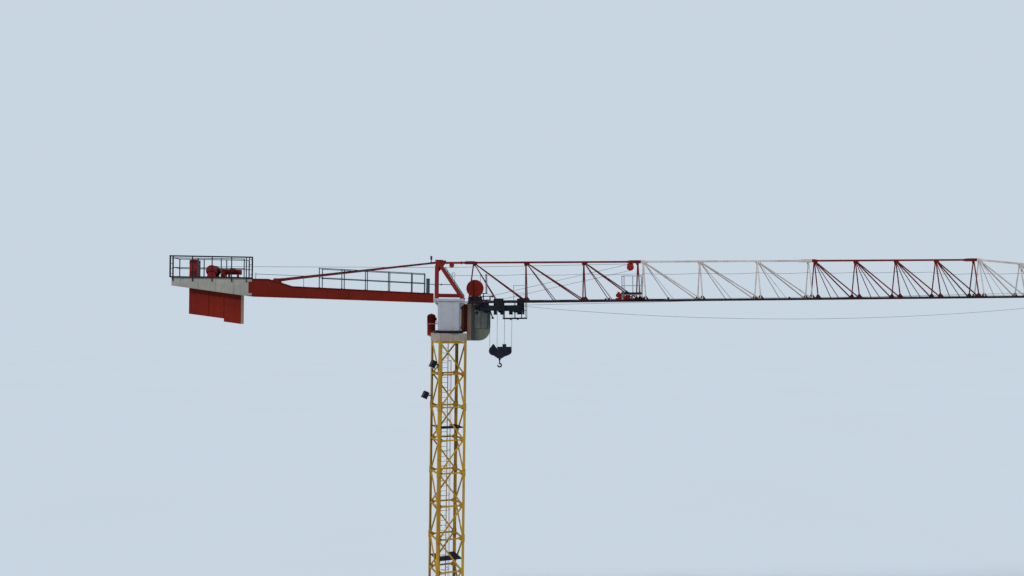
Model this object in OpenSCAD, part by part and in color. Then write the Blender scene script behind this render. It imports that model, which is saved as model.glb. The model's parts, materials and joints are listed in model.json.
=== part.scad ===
// Flat-top tower crane on a square lattice mast, drawn with the real crane's sizes in mm
// and made as a scale model. Jib along +X, Z up, origin under the centre of the mast.

/* [Scale] */
// How many times smaller than the real crane the model is
scale_divisor = 2; // [2:1:20]

/* [Mast] */
// Width of the mast over its corner angles
mast_w = 1700; // [1400:50:2200]
// Height of one mast section between pinned joints
section_h = 3900; // [3000:100:6000]
// Number of mast sections
sections = 6; // [2:1:7]
// Flange width of the corner angles
leg_w = 160; // [120:10:220]
// Thickness of the corner angles
leg_t = 20; // [14:1:30]
// Side of the square bracing bars
brace_w = 80; // [50:5:110]
// Thickness of the mast's diagonals
diagonal_t = 68; // [40:2:110]
// Turn of the mast's sides from the jib at rest, in degrees
mast_yaw = 17.5; // [0:0.5:45]

/* [Base] */
// Side of the square foot plates
foot_w = 460; // [420:10:600]
// Thickness of the foot plates
foot_t = 50; // [30:5:80]
// Radius of the anchor bolt holes
anchor_r = 24; // [15:1:30]
// Pitch circle of the four anchor bolts in a foot plate
anchor_pcd = 420; // [380:10:480]
// Height of the base beams
base_beam_h = 260; // [160:10:400]
// Width of the base beams
base_beam_w = 160; // [100:10:200]

/* [Slewing part] */
// Height of the slewing support on top of the mast
support_h = 480; // [300:20:700]
// Outer radius of the slewing ring
ring_r = 950; // [850:10:1000]
// Height of each half of the slewing ring
ring_h = 45; // [30:5:80]
// Length of the turntable box along the jib
head_l = 1320; // [1200:20:1500]
// Width of the turntable box across the jib
head_w = 1200; // [1100:20:1300]
// Height of the turntable box over its base plate
head_h = 1660; // [1300:20:2200]

/* [Jib] */
// Height of the jib between chord centres
jib_h = 2380; // [1800:20:2800]
// Width of the jib between bottom chord centres
jib_w = 1000; // [900:20:1200]
// Upward slope of the jib, in degrees
jib_rise = 1.35; // [0:0.05:2]
// Side of the square top chord
top_chord = 110; // [80:5:140]
// Side of the square bottom chords
bottom_chord = 120; // [100:5:140]
// Outward running flange on each bottom chord
rail_w = 60; // [40:5:90]
// Thickness of the running flange
rail_t = 16; // [12:1:24]
// Width of posts and main diagonals
post_w = 70; // [50:5:90]
// Width of the thin middle diagonals
thin_w = 45; // [30:5:60]
// Side of the floor's cross bars
cross_bar = 60; // [40:5:80]
// Height of the jib at its outer end
jib_end_h = 1350; // [1000:50:2000]
// Thickness of gusset and cheek plates
gusset_t = 16; // [10:1:24]
// Radius of the section pins
pin_r = 34; // [20:1:40]

/* [Counter-jib] */
// Distance between the centres of the two plate girders
girder_gap = 1150; // [1000:50:1300]
// Flange width of the plate girders
girder_w = 160; // [120:10:200]
// Thickness of girder webs and flanges
girder_t = 24; // [16:2:40]
// Thickness of a ballast slab across the counter-jib
ballast_t = 660; // [400:20:800]
// Height of the two outer ballast slabs
ballast_h = 1500; // [1200:20:1800]
// Height of the ballast slab nearest the mast
ballast_inner_h = 1680; // [1300:20:1900]

/* [Trolley and hook] */
// Length of the trolley along the jib
trolley_l = 2600; // [2400:50:3200]
// Place of the trolley's centre along the jib at rest
trolley_u = 3120; // [3100:20:6000]
// Rope radius of the trolley and hook sheaves
sheave_r = 210; // [160:5:230]
// Radius of the trolley's running rollers
roller_r = 90; // [70:5:110]
// Drop of the hook block's sheave axles below the trolley's at rest
hook_drop = 2530; // [1400:10:6000]
// Radius of the hoist rope
rope_r = 9; // [6:1:14]

/* [Cab] */
// Length of the cab along the jib
cab_l = 1400; // [1200:20:1500]
// Width of the cab across the jib
cab_w = 1200; // [1000:20:1400]
// Height of the cab
cab_h = 2280; // [2000:20:2300]
// Thickness of the cab walls
cab_wall = 50; // [30:5:80]

/* [Hidden] */
seat = 0.6;           // gap between pieces that seat on each other
mast_top = section_h * sections;
panel_h = section_h / 2;
panels = sections * 2;
leg_c = (mast_w - leg_w) / 2;                    // centre of a corner angle
brace_y = mast_w / 2 - leg_t - seat - brace_w / 2;   // plane of a side's bars
brace_x = brace_y - brace_w / 2 - seat;              // ends of a side's bars
support_top = mast_top + support_h;
ring_top = support_top + 2 * ring_h + 3 * seat;
head_plate_t = 60;
head_z = ring_top + head_plate_t;                // foot of the turntable box
head_top = head_z + head_h;
flange_h = 100;                                  // flange on the turntable's top
flange_top = head_top + flange_h;
jib_z = flange_top - 77;                         // height of the jib's bottom chords at the mast axis
root_u = 1050;                                   // start of the bottom chords
joints_u = [root_u, 11720, 22560, 33420, 44300]; // section joints along the jib
jib_bays = [
    [3160, 3540, 3350],
    [3530, 3660, 3290],
    [2660, 2650, 2650, 2530],
    [2750, 2750, 2600, 2400]
];
first_top = [1500, 11900, 22750, 33600];         // first top node of each section
first_bottom = [1160, 11900, 22750, 33600];      // and the bottom node below it
bay_count = [for (b = jib_bays) len(b)];

plate_in = jib_w / 2 + bottom_chord / 2 + rail_w + 14;   // inner faces of the trolley's side plates
plate_t = 24;
axle_r = 40;                                     // axles of drums and large sheaves
sheave_rim = 25;                                 // depth of a sheave's groove

RED = "firebrick";
WHITE = "gainsboro";
YELLOW = "gold";
BLACK = "dimgray";

// Shared helpers

function sum_to(v, n) = n == 0 ? 0 : v[n - 1] + sum_to(v, n - 1);
function top_u(s, i) = first_top[s] + sum_to(jib_bays[s], i);
function bottom_u(s, i) = i == 0 ? first_bottom[s] : top_u(s, i);
function top_w(u) = u <= first_top[3] ? jib_h
    : jib_h - (jib_h - jib_end_h) * (u - first_top[3]) / (joints_u[4] - first_top[3]);

module at_scale() {
    scale(1 / scale_divisor) children();
}

// A straight bar of w across its flats from point a to point b
module bar(a, b, w, sides = 4) {
    d = b - a;
    l = norm(d);
    translate(a) rotate([0, acos(d[2] / l), atan2(d[1], d[0])]) rotate(180 / sides)
        cylinder(h = l, r = w / 2 / cos(180 / sides), $fn = sides);
}

// A box given by its two opposite corners
module box(lo, hi) {
    translate(lo) cube(hi - lo);
}

// A disc or roller across the jib, centred on p
module cross_disc(p, r, w) {
    translate(p) rotate([90, 0, 0]) cylinder(h = w, r = r, center = true, $fn = 48);
}

// A grooved rope sheave across the jib, centred on p, with a bore
module sheave(p, r, w, bore) {
    rim = r + sheave_rim;
    translate(p) rotate([90, 0, 0]) rotate_extrude($fn = 48)
        polygon([[bore, -w / 2], [rim, -w / 2], [rim, -w / 2 + 8], [r, -rope_r], [r, rope_r],
                 [rim, w / 2 - 8], [rim, w / 2], [bore, w / 2]]);
}

module on_mast() {
    rotate(mast_yaw) children();
}

module on_jib() {
    translate([0, 0, jib_z]) rotate([0, -jib_rise, 0]) children();
}

module four_corners() {
    for (a = [0:90:270]) rotate(a) children();
}

// Mast

module base_frame() {
    color(YELLOW) on_mast() difference() {
        union() {
            four_corners() {
                translate([leg_c, leg_c, 0])
                    box([-foot_w / 2, -foot_w / 2, 0], [foot_w / 2, foot_w / 2, foot_t]);
                box([-leg_c + foot_w / 2 - 20, leg_c - base_beam_w / 2, 0],
                    [leg_c - foot_w / 2 + 20, leg_c + base_beam_w / 2, base_beam_h]);
            }
            box([-base_beam_w / 2, -leg_c, 0], [base_beam_w / 2, leg_c, base_beam_h]);
            box([-leg_c, -base_beam_w / 2, 0], [leg_c, base_beam_w / 2, base_beam_h]);
        }
        four_corners() translate([leg_c, leg_c, 0]) for (a = [45:90:315])
            rotate(a) translate([anchor_pcd / 2, 0, -10])
                cylinder(h = foot_t + 20, r = anchor_r, $fn = 32);
    }
}

// One corner angle with its outer corner at the mast's corner
module leg_angle(z0, z1, w, t, out) {
    c = mast_w / 2 + out;
    translate([0, 0, z0]) linear_extrude(z1 - z0)
        polygon([[c, c], [c - w, c], [c - w, c - t], [c - t, c - t], [c - t, c - w], [c, c - w]]);
}

module mast_legs() {
    collar_h = 420;
    collar_t = leg_t + 25;
    color(YELLOW) on_mast() four_corners() {
        leg_angle(foot_t + seat, mast_top - seat, leg_w, leg_t, 0);
        for (i = [1:sections - 1])
            leg_angle(i * section_h - collar_h / 2, i * section_h + collar_h / 2,
                      leg_w + 25, collar_t - 5, 20);
        leg_angle(foot_t + seat, 500, leg_w + 20, collar_t - 5, 20);
    }
}

// Height of the level bar at the foot of panel i
function bar_z(i) = i == 0 ? base_beam_h + 100 : i == panels ? mast_top - brace_w : i * panel_h;

// Bars of one side behind the corner angles, rising to the right in even panels
module mast_side(turn) {
    color(YELLOW) on_mast() rotate(turn) translate([0, -brace_y, 0]) rotate([90, 0, 0]) {
        linear_extrude(brace_w, center = true) for (i = [0:panels])
            translate([-brace_x, bar_z(i) - brace_w / 2]) square([2 * brace_x, brace_w]);
        linear_extrude(diagonal_t, center = true) for (i = [0:panels - 1]) {
            x = i % 2 == 0 ? brace_x : -brace_x;
            a = bar_z(i);
            b = bar_z(i + 1);
            t = brace_w / 2 / cos(atan2(b - a, 2 * brace_x));
            polygon([[-x, a - t], [x, b - t], [x, b + t], [-x, a + t]]);
        }
    }
}

ladder_w = 400;
ladder_y = brace_y - brace_w / 2 - seat;

module mast_ladder() {
    color(YELLOW) on_mast() {
        for (s = [-1, 1])
            box([s * ladder_w / 2 - 20, ladder_y - 60, 300],
                [s * ladder_w / 2 + 20, ladder_y, mast_top - 100]);
        for (z = [450:300:mast_top - 150])
            translate([-ladder_w / 2, ladder_y - 30, z]) rotate([0, 90, 0])
                cylinder(h = ladder_w, r = 14, $fn = 6);
    }
}

platform_drop = 1250;

module mast_platforms() {
    e = brace_y - diagonal_t / 2 - seat;
    color(BLACK) on_mast() for (k = [1:2:sections - 1]) {
        z = k * section_h - platform_drop;
        difference() {
            box([-e, -e, z], [e, e, z + 40]);
            box([-350, ladder_y - 700, z - 10], [350, e + 10, z + 50]);
        }
    }
}

module floodlight(p) {
    translate(p) {
        box([-260, -60, -40], [0, 60, 20]);
        rotate([0, 25, 0]) box([-460, -200, -330], [-180, 200, 60]);
    }
}

module mast_floodlights() {
    x = -mast_w / 2 - seat;
    color(BLACK) on_mast() {
        floodlight([x, -leg_c, mast_top - 1350]);
        floodlight([x, leg_c, mast_top - 3300]);
    }
}

module slewing_support() {
    a = mast_w / 2 + 10;
    wall = 30;
    color("bisque") difference() {
        union() {
            on_mast() box([-a, -a, mast_top], [a, a, support_top]);
        }
        on_mast() box([-a + wall, -a + wall, mast_top - 10], [a - wall, a - wall, support_top - 40]);
        translate([0, 0, mast_top]) cylinder(h = support_h + 10, r = 520, $fn = 64);
    }
}

module ring_half(z, r_out, r_in) {
    translate([0, 0, z]) difference() {
        cylinder(h = ring_h, r = r_out, $fn = 96);
        translate([0, 0, -1]) cylinder(h = ring_h + 2, r = r_in, $fn = 96);
    }
}

module slewing_ring_lower() {
    color(BLACK) ring_half(support_top + seat, ring_r - 120, ring_r - 260);
}

// Upper ring with the round plate that carries the turntable, bolted down all round
module slewing_ring_upper() {
    z = support_top + ring_h + 2 * seat;
    color(BLACK) difference() {
        union() {
            ring_half(z, ring_r, ring_r - 240);
            translate([0, 0, z + ring_h - 5])
                cylinder(h = head_z - seat - z - ring_h + 5, r = ring_r, $fn = 96);
            for (a = [15:30:345])
                rotate(a) translate([ring_r - 60, 0, head_z - 10]) cylinder(h = 39, r = 26, $fn = 6);
        }
        translate([0, 0, z - 10]) cylinder(h = 300, r = 400, $fn = 64);
    }
}

// Turntable, cab and head

motor_r = 150;
gear_r = 265;
motor_at = [-1070, 1230];
bracket_z = head_z + 360;
bracket_t = 50;
flange_rear = 230;                               // overhang of the flange at its two ends
flange_front = 340;

// A rectangle about the origin with corners rounded to r
module rounded(l, w, r) {
    corners = [[1, 1, 0], [-1, 1, 90], [-1, -1, 180], [1, -1, 270]];
    polygon([for (c = corners, a = [0:15:90])
        [c[0] * (l / 2 - r) + r * cos(c[2] + a), c[1] * (w / 2 - r) + r * sin(c[2] + a)]]);
}

// A triangular stiffener under the flange, from the box wall at x0 out to x1
module flange_stiffener(x0, x1, y) {
    girder_strip([[x0, head_top - 260], [x0, head_top], [x1, head_top]], gusset_t, y);
}

module turntable() {
    wall = 30;
    corner = 110;
    color(WHITE) difference() {
        union() {
            translate([0, 0, head_z]) linear_extrude(head_h) rounded(head_l, head_w, corner);
            box([-head_l / 2 - flange_rear, -head_w / 2 + 40, head_top],
                [head_l / 2 + flange_front, head_w / 2 - 40, flange_top]);
            for (y = [-head_w / 2 + 150, 0, head_w / 2 - 150]) {
                flange_stiffener(-head_l / 2 + 5, -head_l / 2 - flange_rear + 30, y);
                flange_stiffener(head_l / 2 - 5, head_l / 2 + flange_front - 30, y);
            }
            box([-head_l / 2, head_w / 2 - corner, bracket_z],
                [-head_l / 2 + 260, motor_at[1], bracket_z + bracket_t]);
            box([motor_at[0] - 280, motor_at[1] - 290, bracket_z],
                [-head_l / 2 + 260, motor_at[1] + 290, bracket_z + bracket_t]);
            for (k = [-1, 1]) root_lug(k * jib_w / 2);
        }
        box([-head_l / 2 + wall, -head_w / 2 + wall, head_z],
            [head_l / 2 - wall, head_w / 2 - wall, head_top - wall]);
        translate([0, 0, head_top - 100]) cylinder(h = 400, r = 330, $fn = 64);
        for (s = [-1, 1])
            box([s * head_l / 2 - 100, -280, head_z + 250], [s * head_l / 2 + 100, 280, head_top - 300]);
        translate([motor_at[0], motor_at[1], bracket_z - 10])
            cylinder(h = 100, r = motor_r + seat, $fn = 48);
        box([-2000, -1000, flange_top], [2000, 1000, flange_top + 500]);
    }
}

// A lug for the foot of one bottom chord, with cheeks and a pin head on each side
module root_lug(y) {
    h = bottom_chord / 2;
    out = h + seat + gusset_t;
    tip = first_bottom[0] - cross_bar / 2 - 5;
    foot = rail_t - h + 4;
    on_jib() {
        box([head_l / 2 + flange_front - 120, y - h, -h + 10], [root_u - seat, y + h, h]);
        box([root_u - 170, y - out, foot], [root_u - seat, y + out, h - 4]);
        for (k = [-1, 1]) {
            translate([0, y + k * (out - gusset_t / 2), 0]) rotate([90, 0, 0])
                linear_extrude(gusset_t, center = true)
                    polygon([[root_u - 100, foot], [tip - 25, foot], [tip, foot + 25], [tip, 25],
                             [tip - 25, h - 4], [root_u - 100, h - 4]]);
            translate([(root_u + tip) / 2, y + k * (out + 8), 0]) rotate([90, 0, 0])
                cylinder(h = 20, r = pin_r, center = true, $fn = 32);
        }
    }
}

module slewing_gear_motor() {
    color(RED) translate([motor_at[0], motor_at[1], 0]) {
        translate([0, 0, bracket_z - 760]) cylinder(h = 60, r = 120, $fn = 48);
        translate([0, 0, bracket_z - 700]) cylinder(h = 700 - seat, r = gear_r - 20, $fn = 48);
        for (z = [-560:140:-140])
            translate([0, 0, bracket_z + z]) cylinder(h = 30, r = gear_r, $fn = 48);
        translate([0, 0, bracket_z - 300]) cylinder(h = 700, r = motor_r, $fn = 48);
        translate([0, 0, bracket_z + bracket_t + seat]) cylinder(h = 40, r = gear_r, $fn = 48);
        translate([0, 0, bracket_z + bracket_t + 30]) cylinder(h = 480, r = gear_r - 25, $fn = 48);
        translate([0, 0, bracket_z + bracket_t + 500])
            cylinder(h = 40, r1 = gear_r - 25, r2 = gear_r - 75, $fn = 48);
        translate([0, 0, bracket_z + bracket_t + 540])
            cylinder(h = 35, r1 = gear_r - 75, r2 = 90, $fn = 48);
    }
}

cab_x = 1130;
cab_y = plate_in + plate_t + 72;                 // the trolley passes beside the cab's roof
cab_z = head_z - 612;

// Cab side outline from the rear bottom corner, with a round lower front
function cab_outline(inset) =
    let (r = 700 - inset, x1 = cab_l - inset, z0 = inset)
    concat(
        [[inset, z0]],
        [for (a = [-90:15:0]) [x1 - r + r * cos(a), z0 + r + r * sin(a)]],
        [[x1 - 40, cab_h - 160 - inset], [x1 - 120, cab_h - inset], [inset, cab_h - inset]]
    );

module cab_prism(inset, y0, y1) {
    translate([cab_x, cab_y + y1, cab_z]) rotate([90, 0, 0])
        linear_extrude(y1 - y0) polygon(cab_outline(inset));
}

window_side = [[420, 760], [1240, 1960]];
window_front_y = [130, 1070];
window_front_z = [760, 1960];
window_low_z = [180, 620];

module cab_openings(grow) {
    for (y = [-10, cab_w - cab_wall - 10])
        translate([cab_x, cab_y, cab_z])
            box([window_side[0][0] - grow, y, window_side[0][1] - grow],
                [window_side[1][0] + grow, y + cab_wall + 20, window_side[1][1] + grow]);
    translate([cab_x, cab_y, cab_z])
        box([cab_l - cab_wall - 60, window_front_y[0] - grow, window_front_z[0] - grow],
            [cab_l + 40, window_front_y[1] + grow, window_front_z[1] + grow]);
    translate([cab_x, cab_y, cab_z])
        box([cab_l - 420, window_front_y[0] - grow, window_low_z[0] - grow],
            [cab_l + 40, window_front_y[1] + grow, window_low_z[1] + grow]);
}

module cab_body() {
    color("darkseagreen") difference() {
        cab_prism(0, 0, cab_w);
        cab_prism(cab_wall, cab_wall, cab_w - cab_wall);
        cab_openings(0);
        translate([cab_x, cab_y, cab_z]) box([-10, 250, 120], [cab_wall + 10, 900, 2000]);
    }
}

module cab_windows() {
    glass = 16;
    color("lightblue", 0.5) {
        for (y = [20, cab_w - 20 - glass])
            translate([cab_x, cab_y, cab_z])
                box([window_side[0][0] + seat, y, window_side[0][1] + seat],
                    [window_side[1][0] - seat, y + glass, window_side[1][1] - seat]);
        intersection() {
            difference() {
                cab_prism(17, 17, cab_w - 17);
                cab_prism(17 + glass, 0, cab_w);
            }
            cab_openings(-seat);
            translate([cab_x, cab_y, cab_z])
                box([cab_l - 420, window_front_y[0], 0], [cab_l + 40, window_front_y[1], cab_h]);
        }
    }
}

module cab_support_frame() {
    y0 = head_w / 2 + seat;
    color(RED) {
        box([780, y0, head_z + 20], [1060, y0 + 260, head_top - 40]);
        for (z = [head_z + 60, head_top - 400]) {
            box([100, y0, z], [1060, y0 + 80, z + 160]);
            box([900, y0, z], [cab_x - seat, cab_y + 270, z + 160]);
        }
    }
}

apex_z = flange_top + 2398;
post_x = -735;
frame_y = girder_gap / 2 - 40;
link_u = -640;                                   // pins of the links, along the jib
chord_start = 640;                               // inner end of the top chord, along the jib
link_y = top_chord / 2 + seat;                   // inner faces of the two link plates
link_t = 28;

// A gusset plate of the head, parallel to the jib
module head_gusset(y) {
    girder_strip([[post_x - 85, apex_z - 640], [post_x + 100, apex_z - 640], [post_x + 520, apex_z - 90],
                  [post_x + 520, apex_z + 40], [post_x - 85, apex_z + 40]], 24, y);
}

module head_frame() {
    z0 = flange_top + seat;
    low = z0 + 90;
    head_y = link_y + link_t + 20;
    color(RED) difference() {
        union() {
            for (s = [-1, 1]) {
                box([cj_front + seat, s * frame_y - 75, z0], [940, s * frame_y + 75, z0 + 150]);
                bar([post_x, s * frame_y, low], [post_x, s * head_y, apex_z], 170);
                bar([860, s * frame_y, low], [post_x + 60, s * head_y, apex_z - 60], 190);
                head_gusset(s * head_y);
                link_plate(s);
            }
            for (x = [post_x, 860])
                box([x - 70, -frame_y, z0], [x + 70, frame_y, z0 + 140]);
            box([post_x - 110, -head_y - 40, apex_z - 260], [post_x + 190, head_y + 40, apex_z - 100]);
            box([post_x - 110, -head_y - 40, apex_z - 260], [post_x - 60, head_y + 40, apex_z + 60]);
            box([post_x - 140, -head_y - 60, apex_z + 40], [post_x + 330, head_y + 60, apex_z + 65]);
        }
        box([-3000, -1000, z0 - 500], [3000, 1000, z0]);
    }
}

// One of the two plates that tie the head to the top chord, with round ends and pin heads
module link_plate(s) {
    w0 = top_w(0);
    on_jib() {
        translate([0, s * (link_y + link_t / 2), w0]) rotate([90, 0, 0])
            linear_extrude(link_t, center = true) {
                translate([link_u, -60]) square([chord_start + 130 - link_u, 120]);
                for (u = [link_u, chord_start + 130]) translate([u, 0]) circle(r = 85, $fn = 48);
            }
        for (u = [link_u, chord_start + 130])
            translate([u, s * (link_y + link_t + 8), w0]) rotate([90, 0, 0])
                cylinder(h = 24, r = pin_r + 6, center = true, $fn = 32);
    }
}

// Jib

// Thick plates on both faces of the top chord, tapered over a run of 200 away from the joint
module chord_plates(u_joint, length, dir) {
    h = top_chord / 2;
    ua = u_joint + dir * length;
    ub = u_joint + dir * (length - 200);
    rotate([90, 0, 0]) linear_extrude(top_chord + 2 * plate_side, center = true)
        polygon([[u_joint, top_w(u_joint) + h + plate_rise], [ub, top_w(ub) + h + plate_rise],
                 [ua, top_w(ua) + h], [ua, top_w(ua) - h], [ub, top_w(ub) - h - plate_rise],
                 [u_joint, top_w(u_joint) - h - plate_rise]]);
}

plate_side = 28;
plate_rise = 38;
plate_end = 860;                                 // joint plates at the outer end of a section
function plate_start(s) = first_top[s] + 200;    // and the end of those at its inner end

module top_chord_of(s) {
    u0 = s == 0 ? chord_start : joints_u[s] + seat;
    u1 = joints_u[s + 1] - seat;
    h = top_chord / 2;
    on_jib() difference() {
        union() {
            rotate([90, 0, 0]) linear_extrude(top_chord, center = true)
                polygon(concat(
                    [[u0, top_w(u0) - h]],
                    s == 3 ? [[first_top[3], jib_h - h]] : [],
                    [[u1, top_w(u1) - h], [u1, top_w(u1) + h]],
                    s == 3 ? [[first_top[3], jib_h + h]] : [],
                    [[u0, top_w(u0) + h]]
                ));
            if (s > 0) chord_plates(u0, plate_start(s) - u0, 1);
            if (s == 0) root_plates();
            chord_plates(u1, plate_end, -1);
            for (i = [0:bay_count[s]]) node_gusset(top_u(s, i), i, bay_count[s]);
        }
        if (s > 0) translate([u0 - 1000, -500, 0]) cube([1000, 1000, 4000]);
        translate([u1, -500, 0]) cube([1000, 1000, 4000]);
    }
}

// The first stretch of the top chord, which carries the first fan, is thicker above and below
module root_plates() {
    h = top_chord / 2;
    rotate([90, 0, 0]) linear_extrude(top_chord, center = true)
        polygon([[900, jib_h - h], [1050, jib_h - h - plate_rise], [1560, jib_h - h - plate_rise],
                 [1720, jib_h - h], [1720, jib_h + h], [1480, jib_h + h + plate_rise],
                 [1050, jib_h + h + plate_rise], [900, jib_h + h]]);
}

// A gusset plate under the top chord, on the middle plane, where a fan of bars meets
module node_gusset(u, i, n) {
    low = top_w(u) - top_chord / 2 - 150;
    back = i == 0 ? 60 : 130;
    ahead = i == n ? 60 : 300;
    rotate([90, 0, 0]) linear_extrude(gusset_t, center = true)
        polygon([[u - back, top_w(u - back) - 20], [u - back + 40, low], [u + 60, low],
                 [u + ahead, top_w(u + ahead) - 20]]);
}

module jib_top_chord_red() {
    color(RED) for (s = [0, 2]) top_chord_of(s);
}

module jib_top_chord_white() {
    color(WHITE) for (s = [1, 3]) top_chord_of(s);
}

// Posts, thin middle diagonals and main diagonals of the near side of a section
module side_of(s) {
    n = bay_count[s];
    y1 = -jib_w / 2;
    on_jib() difference() {
        union() for (i = [0:n]) {
            t = [top_u(s, i), -15, top_w(top_u(s, i))];
            bar(t, [bottom_u(s, i), y1, 0], post_w, 6);
            if (i < n) {
                next = bottom_u(s, i + 1);
                mid = (bottom_u(s, i) + next) / 2;
                bar(t, [mid, y1, 0], thin_w, 6);
                bar(t, [next, y1, 0], post_w, 6);
            }
        }
        // room for the chords and for the other side
        translate([0, y1, 0]) cube([100000, bottom_chord + 2 * seat, bottom_chord + 2 * seat],
                                    center = true);
        translate([0, y1, -500 - bottom_chord / 2]) cube([100000, 500, 1000], center = true);
        for (i = [0:n - 1]) chord_room(top_u(s, i), top_u(s, i + 1));
        if (s > 0) plate_room(joints_u[s], plate_start(s));
        if (s == 0) plate_room(880, 1740);
        plate_room(joints_u[s + 1] - plate_end, joints_u[s + 1]);
        box([-1000, -gusset_t / 2 - seat, -100], [50000, 2000, 4000]);
    }
}

// Room for the top chord between two top nodes and a little past them
module chord_room(ua, ub) {
    h = top_chord / 2 + seat;
    past = 500;
    rotate([90, 0, 0]) linear_extrude(top_chord + 2 * seat, center = true)
        polygon([[ua - past, top_w(ua - past) - h], [ua, top_w(ua) - h], [ub, top_w(ub) - h],
                 [ub + past, top_w(ub + past) - h], [ub + past, 4000], [ua - past, 4000]]);
    rotate([90, 0, 0]) linear_extrude(500, center = true)
        polygon([[ua - past, top_w(ua - past)], [ua, top_w(ua)], [ub, top_w(ub)],
                 [ub + past, top_w(ub + past)], [ub + past, 4000], [ua - past, 4000]]);
}

// Room for the thick joint plates on the top chord
module plate_room(ua, ub) {
    h = top_chord / 2 + plate_rise + seat;
    rotate([90, 0, 0]) linear_extrude(top_chord + 2 * plate_side + 2 * seat, center = true)
        polygon([[ua - 5, top_w(ua) - h], [ub + 5, top_w(ub) - h], [ub + 5, 4000], [ua - 5, 4000]]);
}

// Both bottom chords of a section with their running flanges, cross bars and floor diagonals
module floor_of(s) {
    u0 = joints_u[s] + seat;
    u1 = joints_u[s + 1] - seat;
    n = bay_count[s];
    h = bottom_chord / 2;
    on_jib() {
        for (k = [-1, 1]) {
            translate([u0, 0, 0]) rotate([90, 0, 90]) linear_extrude(u1 - u0)
                polygon([[k * (jib_w / 2 - h), -h], [k * (jib_w / 2 + h + rail_w), -h],
                         [k * (jib_w / 2 + h + rail_w), -h + rail_t], [k * (jib_w / 2 + h), -h + rail_t],
                         [k * (jib_w / 2 + h), h], [k * (jib_w / 2 - h), h]]);
            for (u = s == 0 ? [u1 - 240] : [u0, u1 - 240])
                translate([u, k * (jib_w / 2 - h - 12), 0]) {
                    translate([0, -15, -50]) cube([240, 30, 100]);
                    translate([u == u0 ? 70 : 170, -k * 16, 0]) rotate([90, 0, 0])
                        cylinder(h = 20, r = pin_r, center = true, $fn = 32);
                }
        }
        for (i = [0:n]) {
            u = bottom_u(s, i);
            bar([u, -jib_w / 2, 0], [u, jib_w / 2, 0], cross_bar);
            if (i < n) {
                k = i % 2 == 0 ? 1 : -1;
                bar([u, -k * (jib_w / 2 - 20), 0], [bottom_u(s, i + 1), k * (jib_w / 2 - 20), 0],
                    thin_w);
            }
        }
    }
}

module jib_near_side_red() {
    color(RED) for (s = [0, 2]) side_of(s);
}

module jib_near_side_white() {
    color(WHITE) for (s = [1, 3]) side_of(s);
}

module jib_far_side_red() {
    mirror([0, 1, 0]) jib_near_side_red();
}

module jib_far_side_white() {
    mirror([0, 1, 0]) jib_near_side_white();
}

module jib_floor_red() {
    color(RED) for (s = [0, 2]) floor_of(s);
}

module jib_floor_white() {
    color(WHITE) for (s = [1, 3]) floor_of(s);
}

nose_sheave = [520, 170];
nose_r = 175;

module jib_nose() {
    u = joints_u[4] + seat;
    end_w = top_w(joints_u[4]);
    side = 46;
    color(WHITE) on_jib() {
        box([u, -jib_w / 2 - 60, -60], [u + 120, jib_w / 2 + 60, 60]);
        for (s = [-1, 1]) {
            bar([u + 60, s * jib_w / 2, 0], [u + 60, s * 30, end_w], 100);
            bar([u + 60, s * (jib_w / 2 - 20), 0], [u + 560, s * (side + 20), 60], 80);
            translate([u, s * (side + gusset_t / 2), 0]) rotate([90, 0, 0])
                linear_extrude(gusset_t, center = true)
                    polygon([[60, -60], [600, -20], [740, 60], [800, 230], [790, 350], [700, 400],
                             [60, 480]]);
        }
        box([u, -side - gusset_t, -60], [u + 120, side + gusset_t, 480]);
        box([u, -60, end_w - 80], [u + 120, 60, end_w + 60]);
        bar([u + 60, 0, end_w], [u + 740, 0, 370], 2 * side + 8);
        cross_disc([u + nose_sheave[0], 0, nose_sheave[1]], 30, 2 * side + 10);
    }
}

// A sheave between two cheek plates; the cheeks reach up to w1
module hung_sheave(u, w, r, half, w1) {
    for (s = [-1, 1])
        translate([u, s * (half - gusset_t / 2), 0]) rotate([90, 0, 0])
            linear_extrude(gusset_t, center = true)
                polygon([[-r * 0.7, w1], [-r * 0.95, w1 - 60], [-r * 0.95, w - 20],
                         [-r * 0.45, w - r * 0.8], [r * 0.45, w - r * 0.8], [r * 0.95, w - 20],
                         [r * 0.95, w1 - 60], [r * 0.7, w1]]);
    cross_disc([u, 0, w], 30, 2 * half - 4);
    sheave([u, 0, w], r, 56, 28);
}

module rope_sheaves() {
    color(RED) on_jib() {
        hung_sheave(180, jib_h - 150, 120, link_y - seat, jib_h + 40);
        hung_sheave(11080, jib_h - 330, 190, 52, jib_h - top_chord / 2 - plate_rise - seat);
        translate([joints_u[4] + seat, 0, 0]) sheave([nose_sheave[0], 0, nose_sheave[1]], nose_r, 56,
                                                     30 + seat);
    }
}

drum_at = [1560, 830];
drum_r = 520;

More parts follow.
